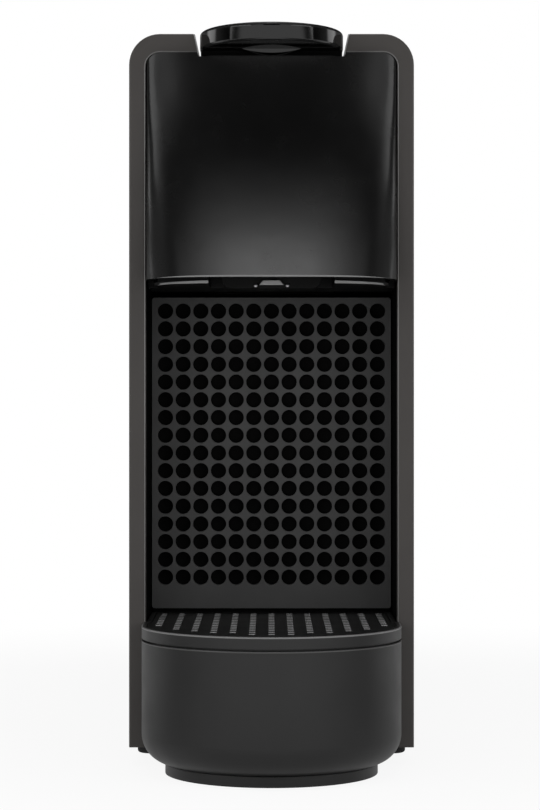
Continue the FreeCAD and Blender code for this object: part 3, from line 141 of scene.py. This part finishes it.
def moulded(name, levels, rough, grain=0.5, depth=0.01, vary=0.10, edge=0.35, level=0.5, metallic=0.0,
            stretch=(1.0, 1.0, 1.0)):
    """Moulded plastic, rubber or metal: grained, with slow changes of colour and gloss."""
    graph = Graph(name)
    tint = colour(*levels)
    graph.tinted(graph.noise(CLOUD_SIZE, 4.0), scaled(tint, 1.0 - vary), scaled(tint, 1.0 + vary))
    graph.roughened(graph.noise(PATCH_SIZE, 5.0), rough * (1.0 - PATCH_VARY), rough * (1.0 + PATCH_VARY))
    graph.bump(graph.noise(grain, 2.0, stretch), depth, edge)
    graph.shader.inputs["Metallic"].default_value = metallic
    graph.shader.inputs["Specular IOR Level"].default_value = level
    return graph.material


def clear_plastic(name, levels):
    """Clear smoky plastic of the water tank."""
    graph = Graph(name)
    tint = colour(*levels)
    graph.tinted(graph.noise(30.0, 2.0), scaled(tint, 0.95), scaled(tint, 1.0))
    graph.roughened(graph.noise(9.0, 4.0), 0.03, 0.09)
    graph.bump(graph.noise(14.0, 1.0), 0.02)
    graph.shader.inputs["Transmission Weight"].default_value = 1.0
    graph.shader.inputs["IOR"].default_value = 1.1
    return graph.material


# Colour in sRGB levels, roughness, then what departs from the usual moulded plastic
MOULDED = {
    "shell_grey": ((59, 56, 54), 0.45, dict(grain=0.45, depth=0.004, vary=0.04, edge=0.2, level=0.4)),
    "gloss_black": ((7, 7, 7), 0.08, dict(grain=2.5, depth=0.001, edge=0.12)),
    "satin_black": ((6, 6, 6), 0.26, dict(grain=0.4, depth=0.0015, edge=0.2)),
    "charcoal": ((26, 26, 26), 0.38, dict(grain=0.5, depth=0.006, edge=0.5)),
    "panel_grey": ((58, 58, 58), 0.50, dict(grain=0.4, depth=0.004, edge=0.2, level=0.4)),
    "grid_black": ((12, 12, 12), 0.32, dict(grain=0.5, depth=0.004, edge=0.25)),
    "inner_black": ((8, 8, 8), 0.6, dict(grain=0.6, edge=0.3, level=0.2)),
    # Near-black of deep inner parts, also used for the strip of painted shade under the lever handle
    "deep_black": ((4, 4, 4), 0.8, dict(grain=0.6, edge=0.3, level=0.08)),
    "inner_white": ((205, 205, 200), 0.5, dict(grain=0.6, depth=0.006, edge=0.3)),
    # Pale grey of the nozzle plate, also used as painted highlights on the slot walls and painted glints on the
    # cup grid
    "nozzle_grey_and_painted_highlight": ((150, 150, 150), 0.4, dict(grain=0.4, depth=0.003, edge=0.1)),
    # Painted highlight grey for the strips along the lower edge of the head
    "painted_highlight_grey": ((112, 112, 112), 0.35, dict(grain=0.4, depth=0.002, vary=0.05, edge=0.05)),
    # Painted highlight greys for the beads along the tray's top edges
    "painted_highlight_bead": ((110, 110, 110), 0.3, dict(grain=0.4, depth=0.002, vary=0.05, edge=0.0)),
    "painted_highlight_dim": ((66, 66, 66), 0.3, dict(grain=0.4, depth=0.002, vary=0.05, edge=0.0)),
    # Painted highlight grey for the beads along the frame's inner edge
    "painted_edge_highlight": ((108, 107, 106), 0.4, dict(grain=0.4, depth=0.002, vary=0.05, edge=0.0)),
    "print_white": ((190, 190, 188), 0.5, dict(grain=0.3, depth=0.003, vary=0.04, edge=0.0)),
    "rubber_black": ((9, 9, 9), 0.75, dict(grain=0.3, depth=0.02, edge=0.3)),
    "silicone": ((205, 200, 190), 0.45, dict(grain=0.8, depth=0.004, edge=0.3)),
    "steel": ((190, 190, 192), 0.28, dict(grain=0.25, depth=0.002, edge=0.2, metallic=1.0,
                                          stretch=(1.0, 1.0, 0.05))),
    "cast_alloy": ((180, 182, 184), 0.45, dict(grain=0.5, depth=0.03, edge=0.5, metallic=1.0)),
    "coil_red": ((125, 60, 34), 0.4, dict(grain=0.9, depth=0.02, edge=0.3, stretch=(1.0, 6.0, 1.0))),
    "board_green": ((26, 80, 44), 0.35, dict(grain=1.2, edge=0.1)),
    "chip_black": ((26, 26, 28), 0.5, dict(grain=0.4, edge=0.2)),
}

FINISHES = {name: moulded(name, levels, rough, **rest) for name, (levels, rough, rest) in MOULDED.items()}
FINISHES["clear_tank"] = clear_plastic("clear_tank", (190, 196, 200))

NODE_FINISH = {
    "shell_grey": ["outer_shell", "rear_wall"],
    "gloss_black": ["lever_handle"],
    "satin_black": ["front_fascia", "tank_lid"],
    "charcoal": ["drip_tray", "tray_ring", "tray_foot", "base_chassis", "small_cup_button", "large_cup_button"],
    "panel_grey": ["dot_panel"],
    "grid_black": ["cup_grid"],
    "deep_black": ["capsule_container", "bay_side_walls"],
    "inner_black": ["head_underplate", "coffee_outlet", "lever_core",
                    "top_deck", "brew_floor", "tank_dock", "board_bracket", "lever_bushes", "cage_carrier"],
    "inner_white": ["flow_meter_case", "flow_meter_cover", "flow_wheel", "pump_cylinder", "chamber_block",
                    "capsule_cage", "thermoblock_posts", "coffee_funnel", "drive_racks", "drive_gears",
                    "valve_cap", "valve_poppet"],
    "clear_tank": ["water_tank"],
    "rubber_black": ["rubber_feet", "cord_gland", "pump_mounts"],
    "silicone": ["dock_seal", "chamber_seal", "inlet_hose", "pump_hose", "pressure_hose", "brew_hose"],
    "steel": ["lever_shaft", "extraction_plate", "piercing_blades", "pump_piston", "valve_spring",
              "chassis_screws", "brew_side_plates"],
    "cast_alloy": ["thermoblock"],
    "coil_red": ["pump_coil"],
    "board_green": ["circuit_board", "button_board"],
    "chip_black": ["board_parts", "tact_switches", "thermal_fuses"],
}

for finish, names in NODE_FINISH.items():
    for name in names:
        slots = nodes[name].data.materials
        slots.clear()
        slots.append(FINISHES[finish])

# Light reaches the wall behind the clear tank
nodes["water_tank"].visible_shadow = False


# Pieces that the solids do not carry

def mesh_piece(name, points, faces, finish, body, bevel=0.0, smooth=False):
    """Mesh from points in millimetres, with softened edges, riding on a body."""
    mesh = bpy.data.meshes.new(name)
    mesh.from_pydata([Vector(point) * MM for point in points], [], faces)
    mesh.materials.append(FINISHES[finish])
    for polygon in mesh.polygons:
        polygon.use_smooth = smooth
    shape = bmesh.new()
    shape.from_mesh(mesh)
    bmesh.ops.recalc_face_normals(shape, faces=shape.faces)
    shape.to_mesh(mesh)
    shape.free()
    piece = bpy.data.objects.new(name, mesh)
    bpy.context.collection.objects.link(piece)
    if bevel:
        soft = piece.modifiers.new("soft_edges", "BEVEL")
        soft.width = bevel * MM
        soft.segments = 3
        soft.limit_method = "ANGLE"
    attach(piece, body)
    return piece


def walls(first, second, count):
    """Faces between two closed rows of count points each, by their first points."""
    return [(first + i, first + (i + 1) % count, second + (i + 1) % count, second + i) for i in range(count)]


def prism(name, outline, front, back, finish, body, bevel=0.0):
    """Outline in X and Z between two planes across Y."""
    count = len(outline)
    points = [(x, front, z) for x, z in outline] + [(x, back, z) for x, z in outline]
    faces = [tuple(range(count)), tuple(range(2 * count - 1, count - 1, -1))]
    return mesh_piece(name, points, faces + walls(0, count, count), finish, body, bevel)


def ribbon(lines, width, low, high):
    """Points and faces of flat strokes drawn along lines in X and Y."""
    points, faces = [], []
    for line, closed in lines:
        first = len(points)
        count = len(line)
        for i, here in enumerate(line):
            before = line[i - 1] if closed or i else here
            after = line[(i + 1) % count] if closed or i < count - 1 else here
            along = (Vector(after) - Vector(before)).normalized()
            side = Vector((-along.y, along.x)) * width / 2
            for z in (low, high):
                points.append((here[0] + side.x, here[1] + side.y, z))
                points.append((here[0] - side.x, here[1] - side.y, z))
        for i in range(count if closed else count - 1):
            a, b = first + 4 * i, first + 4 * ((i + 1) % count)
            faces += [(a + 2, b + 2, b + 3, a + 3), (a, a + 1, b + 1, b),
                      (a, b, b + 2, a + 2), (a + 1, a + 3, b + 3, b + 1)]
        if not closed:
            last = first + 4 * (count - 1)
            faces += [(first, first + 2, first + 3, first + 1), (last, last + 1, last + 3, last + 2)]
    return points, faces


# Cup outlines printed on the two buttons; shares are of the cup's height
MARK_STROKE = 0.38
MARK_SUNK, MARK_PROUD = 0.02, 0.05
MARK_STEPS = 8
BOWL_SHARE = 0.45
HANDLE_OUT, HANDLE_MIDDLE, HANDLE_HALF = 0.4, 0.62, 0.25


def cup_mark(name, node, body, half, height):
    """Outline of a cup with its handle, printed on a button."""
    low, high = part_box(node)
    x, y, top = (low.x + high.x) / 2 / MM, (low.y + high.y) / 2 / MM, high.z / MM
    base = y - height / 2
    bowl, handle = [(x - half, base + height)], []
    for i in range(MARK_STEPS + 1):
        turn = math.pi * (1.0 + i / MARK_STEPS)
        bowl.append((x + half * math.cos(turn), base + height * BOWL_SHARE * (1.0 + math.sin(turn))))
        turn = math.pi * (0.5 - i / MARK_STEPS)
        handle.append((x + half + HANDLE_OUT * height * math.cos(turn),
                       base + height * (HANDLE_MIDDLE + HANDLE_HALF * math.sin(turn))))
    bowl.append((x + half, base + height))
    points, faces = ribbon([(bowl, True), (handle, False)], MARK_STROKE, top - MARK_SUNK, top + MARK_PROUD)
    mesh_piece(name, points, faces, "print_white", body)


cup_mark("small_cup_mark", "small_cup_button", "small_button", 1.7, 2.6)
cup_mark("large_cup_mark", "large_cup_button", "large_button", 1.9, 4.6)

# Bright nozzle plate and the two studs in the coffee outlet
NOZZLE_LOW, NOZZLE_HIGH = 0.85, 2.15
NOZZLE_FOOT, NOZZLE_HEAD = 3.45, 2.3
NOZZLE_PROUD, NOZZLE_SUNK = 0.25, 0.1
STUD_X, STUD_BACK, STUD_UP = 4.45, 1.25, 0.75
STUD_R = 0.55
STUD_COLLAR = 0.4
STUD_TURNS = 20
STUD_DOME = (0.4, 0.8, 1.15)

outlet_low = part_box("coffee_outlet")[0]
lip_y = outlet_low.y / MM
foot_z = outlet_low.z / MM
nozzle = [(-NOZZLE_FOOT, foot_z + NOZZLE_LOW), (NOZZLE_FOOT, foot_z + NOZZLE_LOW),
          (NOZZLE_HEAD, foot_z + NOZZLE_HIGH), (-NOZZLE_HEAD, foot_z + NOZZLE_HIGH)]
prism("nozzle_plate", nozzle, lip_y - NOZZLE_PROUD, lip_y + NOZZLE_SUNK, "nozzle_grey_and_painted_highlight", "body", bevel=0.12)


def stud(name, x, y, z):
    """Domed steel head on a short collar, pointing to the front."""
    profile = [(STUD_R, 0.0), (STUD_R, STUD_R * STUD_COLLAR)]
    for angle in STUD_DOME:
        out = STUD_COLLAR + (1.0 - STUD_COLLAR) * math.sin(angle)
        profile.append((STUD_R * math.cos(angle), STUD_R * out))
    points, faces = [], []
    for r, out in profile:
        for i in range(STUD_TURNS):
            angle = 2 * math.pi * i / STUD_TURNS
            points.append((x + r * math.cos(angle), y - out, z + r * math.sin(angle)))
    last = STUD_TURNS * (len(profile) - 1)
    for row in range(0, last, STUD_TURNS):
        faces += walls(row, row + STUD_TURNS, STUD_TURNS)
    faces += [tuple(range(last, last + STUD_TURNS)), tuple(range(STUD_TURNS - 1, -1, -1))]
    mesh_piece(name, points, faces, "steel", "body", smooth=True)


for side, sign in SIDES:
    stud("outlet_stud_" + side, sign * STUD_X, lip_y + STUD_BACK, foot_z + STUD_UP)

# Light grey strips along the lower edge of the head and on the rim under it: painted highlights where these edges
# catch the light
HEAD_BULGE = 26.4
HEAD_SQUARE = 3.4
STRIP_STEPS = 40
STRIP_PROUD, STRIP_SUNK = 0.1, 0.4
HEAD_LIP_END = 32.0
HEAD_LIP_H, HEAD_LIP_THIN = 0.46, 0.02
RIM_HIGHLIGHT_FIRST, RIM_HIGHLIGHT_LAST = 17.4, 31.8
RIM_HIGHLIGHT_INSET, RIM_HIGHLIGHT_DROP = 2.8, 0.1
RIM_HIGHLIGHT_H, RIM_HIGHLIGHT_FALL = 1.16, 0.022

head_low, head_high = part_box("front_fascia")
rim_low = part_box("head_underplate")[0]
head_half = head_high.x / MM
head_front = head_low.y / MM


def head_line(x, inset):
    """Depth of the lower edge of the head at x, set back by inset."""
    ahead = 1.0 - (abs(x) / (head_half - inset)) ** HEAD_SQUARE
    return head_front + HEAD_BULGE + inset - HEAD_BULGE * max(0.0, ahead) ** (1.0 / HEAD_SQUARE)


def head_strip(name, first, last, inset, low, heights):
    """Thin strip in painted highlight grey along the front of the head, as high at each place as heights says."""
    points, faces = [], []
    for i in range(STRIP_STEPS + 1):
        x = first + (last - first) * i / STRIP_STEPS
        y = head_line(x, inset)
        top = low + heights(x)
        points += [(x, y - STRIP_PROUD, low), (x, y - STRIP_PROUD, top),
                   (x, y + STRIP_SUNK, top), (x, y + STRIP_SUNK, low)]
    end = 4 * STRIP_STEPS
    for row in range(0, end, 4):
        faces += walls(row, row + 4, 4)
    faces += [(0, 1, 2, 3), (end + 3, end + 2, end + 1, end)]
    mesh_piece(name, points, faces, "painted_highlight_grey", "body")


head_strip("head_lip_highlight", -HEAD_LIP_END, HEAD_LIP_END, 0.0, head_low.z / MM,
           lambda x: HEAD_LIP_H * (1.0 - (x / HEAD_LIP_END) ** 4) + HEAD_LIP_THIN)
for side, sign in SIDES:
    head_strip("rim_highlight_" + side, sign * RIM_HIGHLIGHT_FIRST, sign * RIM_HIGHLIGHT_LAST, RIM_HIGHLIGHT_INSET, rim_low.z / MM - RIM_HIGHLIGHT_DROP,
               lambda x: RIM_HIGHLIGHT_H - RIM_HIGHLIGHT_FALL * abs(x))

# Matt near-black strip on the front wall under the lever handle: painted shade over the dark gap there
WALL_Y = -118.0
UNDER_SHADE_HALF = 19.8
UNDER_SHADE_LOW, UNDER_SHADE_HIGH = 201.75, 202.85
UNDER_SHADE_PROUD, UNDER_SHADE_SUNK = 0.15, 0.05
under_shade = [(-UNDER_SHADE_HALF, UNDER_SHADE_LOW), (UNDER_SHADE_HALF, UNDER_SHADE_LOW), (UNDER_SHADE_HALF, UNDER_SHADE_HIGH), (-UNDER_SHADE_HALF, UNDER_SHADE_HIGH)]
prism("lever_shade_strip", under_shade, WALL_Y - UNDER_SHADE_PROUD, WALL_Y + UNDER_SHADE_SUNK, "deep_black", "lever", bevel=0.05)

# Lip along the sloping walls of the slots beside the lever, pale grey as a painted highlight on their chamfer
SLOT_X, SLOT_Z, SLOT_SLOPE = 20.85, 201.8, 0.2167
LIP_LOW, LIP_HIGH = 201.7, 207.9
LIP_THICK, LIP_SUNK = 0.42, 0.05
LIP_FRONT, LIP_BACK = 0.15, 1.6
for side, sign in SIDES:
    lip = []
    for z, thick in ((LIP_LOW, LIP_THICK), (LIP_HIGH, LIP_THICK), (LIP_HIGH, -LIP_SUNK), (LIP_LOW, -LIP_SUNK)):
        lip.append((sign * (SLOT_X + (z - SLOT_Z) * SLOT_SLOPE - thick), z))
    prism("slot_lip_" + side, lip, WALL_Y + LIP_FRONT, WALL_Y + LIP_BACK, "nozzle_grey_and_painted_highlight", "body",
          bevel=0.1)

# Raised rungs between the slots of the cup grid, pale grey as painted glints off the far walls of the slots
GRID_PITCH = 5.25
RUNG_COLUMNS = 6
RUNG_HALF, RUNG_LONG = 0.85, 0.5
RUNG_SUNK, RUNG_H = 0.05, 0.10
RUNG_ROUND = 32.5
RUNG_FROM_PANEL, RUNG_FROM_EDGE = 4.0, 3.0
grid_low, grid_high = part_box("cup_grid")
rung_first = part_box("dot_panel")[0].y / MM - RUNG_FROM_PANEL
rung_axis = grid_low.y / MM + RUNG_FROM_EDGE + RUNG_ROUND
points, faces = [], []
for column in range(-RUNG_COLUMNS, RUNG_COLUMNS + 1):
    x = column * GRID_PITCH
    reach = rung_axis - math.sqrt(RUNG_ROUND * RUNG_ROUND - x * x)
    row = 0
    while rung_first - (row + 1.0) * GRID_PITCH > reach:
        y = rung_first - (row + 0.5) * GRID_PITCH
        row += 1
        first = len(points)
        for z in (grid_high.z / MM - RUNG_SUNK, grid_high.z / MM + RUNG_H):
            points += [(x - RUNG_HALF, y - RUNG_LONG, z), (x + RUNG_HALF, y - RUNG_LONG, z),
                       (x + RUNG_HALF, y + RUNG_LONG, z), (x - RUNG_HALF, y + RUNG_LONG, z)]
        faces += [(first, first + 3, first + 2, first + 1), (first + 4, first + 5, first + 6, first + 7)]
        faces += walls(first, first + 4, 4)
mesh_piece("grid_glint_rungs", points, faces, "nozzle_grey_and_painted_highlight", "grid", bevel=0.04)

# Beads along edges, in lighter greys: painted highlights where the edges catch the light
BEAD_SIDES = 10
BEAD_PROUD = 0.08
ROUND_STEPS = 64
ROUND_BACK = 9.0


def bead(name, path, radius, finish, body):
    """Round bead along places, each with the two directions that its section lies in."""
    points, faces = [], []
    for place, across, along in path:
        for k in range(BEAD_SIDES):
            angle = 2 * math.pi * k / BEAD_SIDES
            spoke = math.cos(angle) * Vector(across) + math.sin(angle) * Vector(along)
            points.append(Vector(place) + radius * spoke)
    last = BEAD_SIDES * (len(path) - 1)
    for row in range(0, last, BEAD_SIDES):
        faces += walls(row, row + BEAD_SIDES, BEAD_SIDES)
    faces += [tuple(range(BEAD_SIDES)), tuple(range(last + BEAD_SIDES - 1, last - 1, -1))]
    return mesh_piece(name, points, faces, finish, body, smooth=True)


def round_bead(name, node, radius, finish):
    """Bead along the upper outer edge of the rounded front of the tray."""
    low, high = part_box(node)
    outer = high.x / MM
    axis_y = low.y / MM + outer
    r = outer + BEAD_PROUD - radius
    z = high.z / MM + BEAD_PROUD - radius
    path = [((-r, axis_y + ROUND_BACK, z), (-1.0, 0.0, 0.0), UP)]
    for i in range(ROUND_STEPS + 1):
        turn = math.pi * (1.0 + i / ROUND_STEPS)
        out = (math.cos(turn), math.sin(turn), 0.0)
        path.append(((r * out[0], axis_y + r * out[1], z), out, UP))
    path.append(((r, axis_y + ROUND_BACK, z), (1.0, 0.0, 0.0), UP))
    bead(name, path, radius, finish, "tray")


round_bead("ring_highlight_bead", "tray_ring", 0.30, "painted_highlight_bead")
round_bead("drum_highlight_bead", "drip_tray", 0.26, "painted_highlight_dim")

# Beads along the inner edge of the frame, from its foot up and round to the lever, lighter than the frame as a
# painted highlight
EDGE_R = 0.25
EDGE_FOOT = 0.4
EDGE_STEPS = 12
EDGE_END_X = 21.3
FRAME_FACE, FRAME_TOP = 4.7, 5.3
FRAME_ROUND = 4.1
BACK = (0.0, 1.0, 0.0)
shell_low, shell_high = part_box("outer_shell")
edge_y = shell_low.y / MM + EDGE_R
edge_foot = shell_low.z / MM + EDGE_FOOT
corner_x = shell_high.x / MM - FRAME_FACE - FRAME_ROUND
corner_z = shell_high.z / MM - FRAME_TOP - FRAME_ROUND
edge_round = FRAME_ROUND + EDGE_R
for side, sign in SIDES:
    path = [((sign * (corner_x + edge_round), edge_y, edge_foot), (sign, 0.0, 0.0), BACK)]
    for i in range(EDGE_STEPS + 1):
        turn = math.pi / 2 * i / EDGE_STEPS
        out = (sign * math.cos(turn), 0.0, math.sin(turn))
        path.append(((sign * corner_x + edge_round * out[0], edge_y, corner_z + edge_round * out[2]), out, BACK))
    path.append(((sign * EDGE_END_X, edge_y, corner_z + edge_round), UP, BACK))
    bead("mouth_edge_highlight_" + side, path, EDGE_R, "painted_edge_highlight", "body")

# Moulded level lines on the back of the water tank: name, height and half length
LEVELS = (("upper", 172.0, 13.0), ("middle", 110.0, 7.0), ("lower", 48.0, 13.0))
LEVEL_HALF = 0.6
LEVEL_SUNK, LEVEL_PROUD = 0.1, 0.35
tank_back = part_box("water_tank")[1].y / MM
for mark, z, half in LEVELS:
    line = [(-half, z - LEVEL_HALF), (half, z - LEVEL_HALF), (half, z + LEVEL_HALF), (-half, z + LEVEL_HALF)]
    prism("level_line_" + mark, line, tank_back - LEVEL_SUNK, tank_back + LEVEL_PROUD, "print_white", "tank",
          bevel=0.2)

# Coil of the valve spring
COIL_WIRE = 0.4
COIL_TURNS = 5
COIL_STEPS = 24
coil_low, coil_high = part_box("valve_spring")
coil_x = (coil_low.x + coil_high.x) / 2 / MM
coil_y = (coil_low.y + coil_high.y) / 2 / MM
coil_r = (coil_high.x - coil_low.x) / 2 / MM - COIL_WIRE
coil_long = (coil_high.z - coil_low.z) / MM
path = []
for i in range(COIL_TURNS * COIL_STEPS + 1):
    turn = 2 * math.pi * i / COIL_STEPS
    out = (math.cos(turn), math.sin(turn), 0.0)
    rise = (coil_long - 2 * COIL_WIRE) * i / (COIL_TURNS * COIL_STEPS)
    place = (coil_x + coil_r * out[0], coil_y + coil_r * out[1], coil_low.z / MM + COIL_WIRE + rise)
    path.append((place, out, UP))
coil = bead("valve_coil", path, COIL_WIRE, "steel", "tank")
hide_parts("valve_spring")
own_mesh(coil)


# Studio

def ranged(tree, value, start, end, low, high):
    """Value that goes from low to high as another goes from start to end."""
    change = tree.nodes.new("ShaderNodeMapRange")
    change.interpolation_type = "SMOOTHSTEP"
    for key, number in (("From Min", start), ("From Max", end), ("To Min", low), ("To Max", high)):
        change.inputs[key].default_value = number
    tree.links.new(value, change.inputs["Value"])
    return change.outputs["Result"]


def joined(tree, operation, *values):
    """Result of one sum over two or more sockets, or on one."""
    result = values[0]
    for value in values[1:] or (None,):
        step = tree.nodes.new("ShaderNodeMath")
        step.operation = operation
        tree.links.new(result, step.inputs[0])
        if value:
            tree.links.new(value, step.inputs[1])
        result = step.outputs["Value"]
    return result


def mixed(tree, factor, low, high):
    """Value between low and high, either of which may be a socket or a number."""
    mix = tree.nodes.new("ShaderNodeMix")
    tree.links.new(factor, mix.inputs[0])
    for socket, value in ((mix.inputs[2], low), (mix.inputs[3], high)):
        if isinstance(value, float):
            socket.default_value = value
        else:
            tree.links.new(value, socket)
    return mix.outputs[0]


# White of the floor: where it starts and ends to change, in metres, and its strength at both ends.
# The camera sees only the fade; reflections see the rest, as cards that lie on a dark floor.
FLOOR_HALF = 4.0
FLOOR_FADE = (0.15, 0.36, 0.90, 1.0)
SHEET_X = (2.0, 3.6, 1.0, 0.0)
SHEET_Y = (0.2, 0.4, 1.0, 0.05)
FRONT_CARD_X = (0.07, 0.19, 1.0, 0.05)
OUTER_CARD = (0.40, 0.55, 0.0, 1.0)
SIDE_CARD_Y = (-0.14, -0.02, 0.0, 0.9)
SHADE = (0.18, 0.32, 0.42, 1.0)


def floor_material():
    """White floor that takes the shadow of the object and fades into the backdrop."""
    graph = Graph("studio_floor")
    tree = graph.tree
    graph.tinted(graph.noise(60.0, 3.0), colour(236, 236, 236), colour(240, 240, 240))
    graph.shader.inputs["Roughness"].default_value = 0.9
    graph.shader.inputs["Specular IOR Level"].default_value = 0.0
    reach = graph.add("ShaderNodeVectorMath", operation="LENGTH")
    graph.link(graph.place, reach.inputs[0])
    axes = graph.add("ShaderNodeSeparateXYZ")
    graph.link(graph.place, axes.inputs["Vector"])
    far, depth = reach.outputs["Value"], axes.outputs["Y"]
    aside = joined(tree, "ABSOLUTE", axes.outputs["X"])
    cards = joined(tree, "MAXIMUM", ranged(tree, aside, *FRONT_CARD_X), ranged(tree, far, *OUTER_CARD),
                   ranged(tree, depth, *SIDE_CARD_Y))
    white = joined(tree, "MULTIPLY", ranged(tree, aside, *SHEET_X), ranged(tree, depth, *SHEET_Y), cards,
                   ranged(tree, far, *SHADE))
    rays = graph.add("ShaderNodeLightPath").outputs
    camera_ray, glossy_ray = rays["Is Camera Ray"], rays["Is Glossy Ray"]
    glow = graph.add("ShaderNodeEmission")
    graph.link(joined(tree, "MAXIMUM", camera_ray, joined(tree, "MULTIPLY", glossy_ray, white)),
               glow.inputs["Strength"])
    seen = joined(tree, "MULTIPLY", joined(tree, "MAXIMUM", camera_ray, glossy_ray),
                  ranged(tree, far, *FLOOR_FADE))
    mix = graph.add("ShaderNodeMixShader")
    graph.link(seen, mix.inputs["Fac"])
    graph.link(graph.shader.outputs["BSDF"], mix.inputs[1])
    graph.link(glow.outputs["Emission"], mix.inputs[2])
    graph.link(mix.outputs["Shader"], tree.nodes["Material Output"].inputs["Surface"])
    return graph.material


floor_mesh = bpy.data.meshes.new("studio_floor")
floor_mesh.from_pydata([(-FLOOR_HALF, -FLOOR_HALF, 0), (FLOOR_HALF, -FLOOR_HALF, 0),
                        (FLOOR_HALF, FLOOR_HALF, 0), (-FLOOR_HALF, FLOOR_HALF, 0)], [], [(0, 1, 2, 3)])
floor_mesh.materials.append(floor_material())
floor = bpy.data.objects.new("studio_floor", floor_mesh)
bpy.context.collection.objects.link(floor)


def area_light(name, place, target, width, height, power):
    """Soft rectangular light that faces target and stays out of the picture."""
    lamp = bpy.data.lights.new(name, "AREA")
    lamp.shape = "RECTANGLE"
    lamp.size = width
    lamp.size_y = height
    lamp.energy = power
    piece = bpy.data.objects.new(name, lamp)
    piece.location = place
    piece.rotation_euler = (Vector(target) - Vector(place)).to_track_quat("-Z", "Y").to_euler()
    piece.visible_camera = False
    bpy.context.collection.objects.link(piece)
    return piece


HEAD = (0.0, -0.118, 0.150)
BAY = (0.0, -0.118, 0.080)
for side, sign in SIDES:
    area_light("softbox_" + side, (sign * 0.98, -0.80, 0.42), HEAD, width=0.90, height=0.50, power=2.7)
    area_light("softbox_inner_" + side, (sign * 0.45, -1.13, 0.42), HEAD, width=0.34, height=0.50, power=0.45)
area_light("softbox_top", (0.0, -0.45, 1.30), HEAD, width=0.26, height=0.44, power=0.50)
area_light("softbox_top_middle", (0.0, -0.45, 1.32), HEAD, width=0.70, height=0.44, power=0.45)
area_light("softbox_top_wide", (0.0, -0.45, 1.34), HEAD, width=1.90, height=0.44, power=0.90)
fill = area_light("front_fill", (0.0, -1.40, 0.15), BAY, width=1.20, height=0.60, power=4.4)
fill.visible_glossy = False

# Light of the room. Reflections see it by direction: where it starts and ends to change along an axis,
# and its strength at both ends.
ROOM_LIGHT = 0.55
BANK_Y = ((0.26, 0.0), (0.34, 1.0), (0.58, 1.0), (0.68, 0.0))
BANK_FOOT_Z = (0.06, 0.09, 0.0, 1.6)
BANK_TOP_Z = (0.17, 0.20, 1.0, 0.0)
BEHIND_Y = (-0.2, 0.3, 0.0, 0.15)
BEHIND_Z = (0.15, 0.30, 1.0, 0.08)
CEILING_Z = (0.66, 0.97, 0.02, 0.9)
CEILING_X = (0.05, 0.55, 1.0, 0.4)
FLANK_X = (0.60, 0.85, 0.0, 0.20)
FLANK_Z = (0.20, 0.32, 0.0, 1.0)


def studio_world():
    """White backdrop and even fill light; in reflections light banks behind, a bright ceiling and dim flanks."""
    world = bpy.data.worlds.new("studio")
    world.use_nodes = True
    tree = world.node_tree
    place = tree.nodes.new("ShaderNodeTexCoord")
    axes = tree.nodes.new("ShaderNodeSeparateXYZ")
    tree.links.new(place.outputs["Generated"], axes.inputs["Vector"])
    height, depth = axes.outputs["Z"], axes.outputs["Y"]
    aside = joined(tree, "ABSOLUTE", axes.outputs["X"])
    strips = tree.nodes.new("ShaderNodeValToRGB")
    elements = strips.color_ramp.elements
    elements[0].position, elements[1].position = BANK_Y[0][0], BANK_Y[-1][0]
    for position, level in BANK_Y[1:-1]:
        elements.new(position)
    for element, (position, level) in zip(elements, BANK_Y):
        element.color = (level, level, level, 1.0)
    tree.links.new(depth, strips.inputs["Fac"])
    banks = joined(tree, "MULTIPLY", strips.outputs["Color"],
                   joined(tree, "MULTIPLY", ranged(tree, height, *BANK_FOOT_Z), ranged(tree, height, *BANK_TOP_Z)))
    behind = joined(tree, "MULTIPLY", ranged(tree, depth, *BEHIND_Y), ranged(tree, height, *BEHIND_Z))
    ceiling = joined(tree, "MULTIPLY", ranged(tree, height, *CEILING_Z), ranged(tree, aside, *CEILING_X))
    flanks = joined(tree, "MULTIPLY", ranged(tree, aside, *FLANK_X), ranged(tree, height, *FLANK_Z))
    mirrored = joined(tree, "ADD", banks, behind, ceiling, flanks)
    rays = tree.nodes.new("ShaderNodeLightPath").outputs
    strength = mixed(tree, rays["Is Glossy Ray"], ROOM_LIGHT, mirrored)
    strength = mixed(tree, rays["Is Transmission Ray"], strength, 1.0)
    strength = mixed(tree, rays["Is Camera Ray"], strength, 1.0)
    background = tree.nodes["Background"]
    background.inputs["Color"].default_value = (1.0, 1.0, 1.0, 1.0)
    tree.links.new(strength, background.inputs["Strength"])
    bpy.context.scene.world = world


studio_world()


# Camera

CAMERA_PLACE = (-0.43 * MM, -808.4 * MM, 102.5 * MM)
camera_data = bpy.data.cameras.new("camera")
camera_data.lens = 108.0
camera_data.sensor_width = 36.0
camera_data.clip_start = 0.01
camera = bpy.data.objects.new("camera", camera_data)
camera.location = CAMERA_PLACE
camera.rotation_euler = (math.radians(90.0), 0.0, 0.0)
bpy.context.collection.objects.link(camera)
bpy.context.scene.camera = camera
bpy.context.scene.view_settings.view_transform = "Standard"
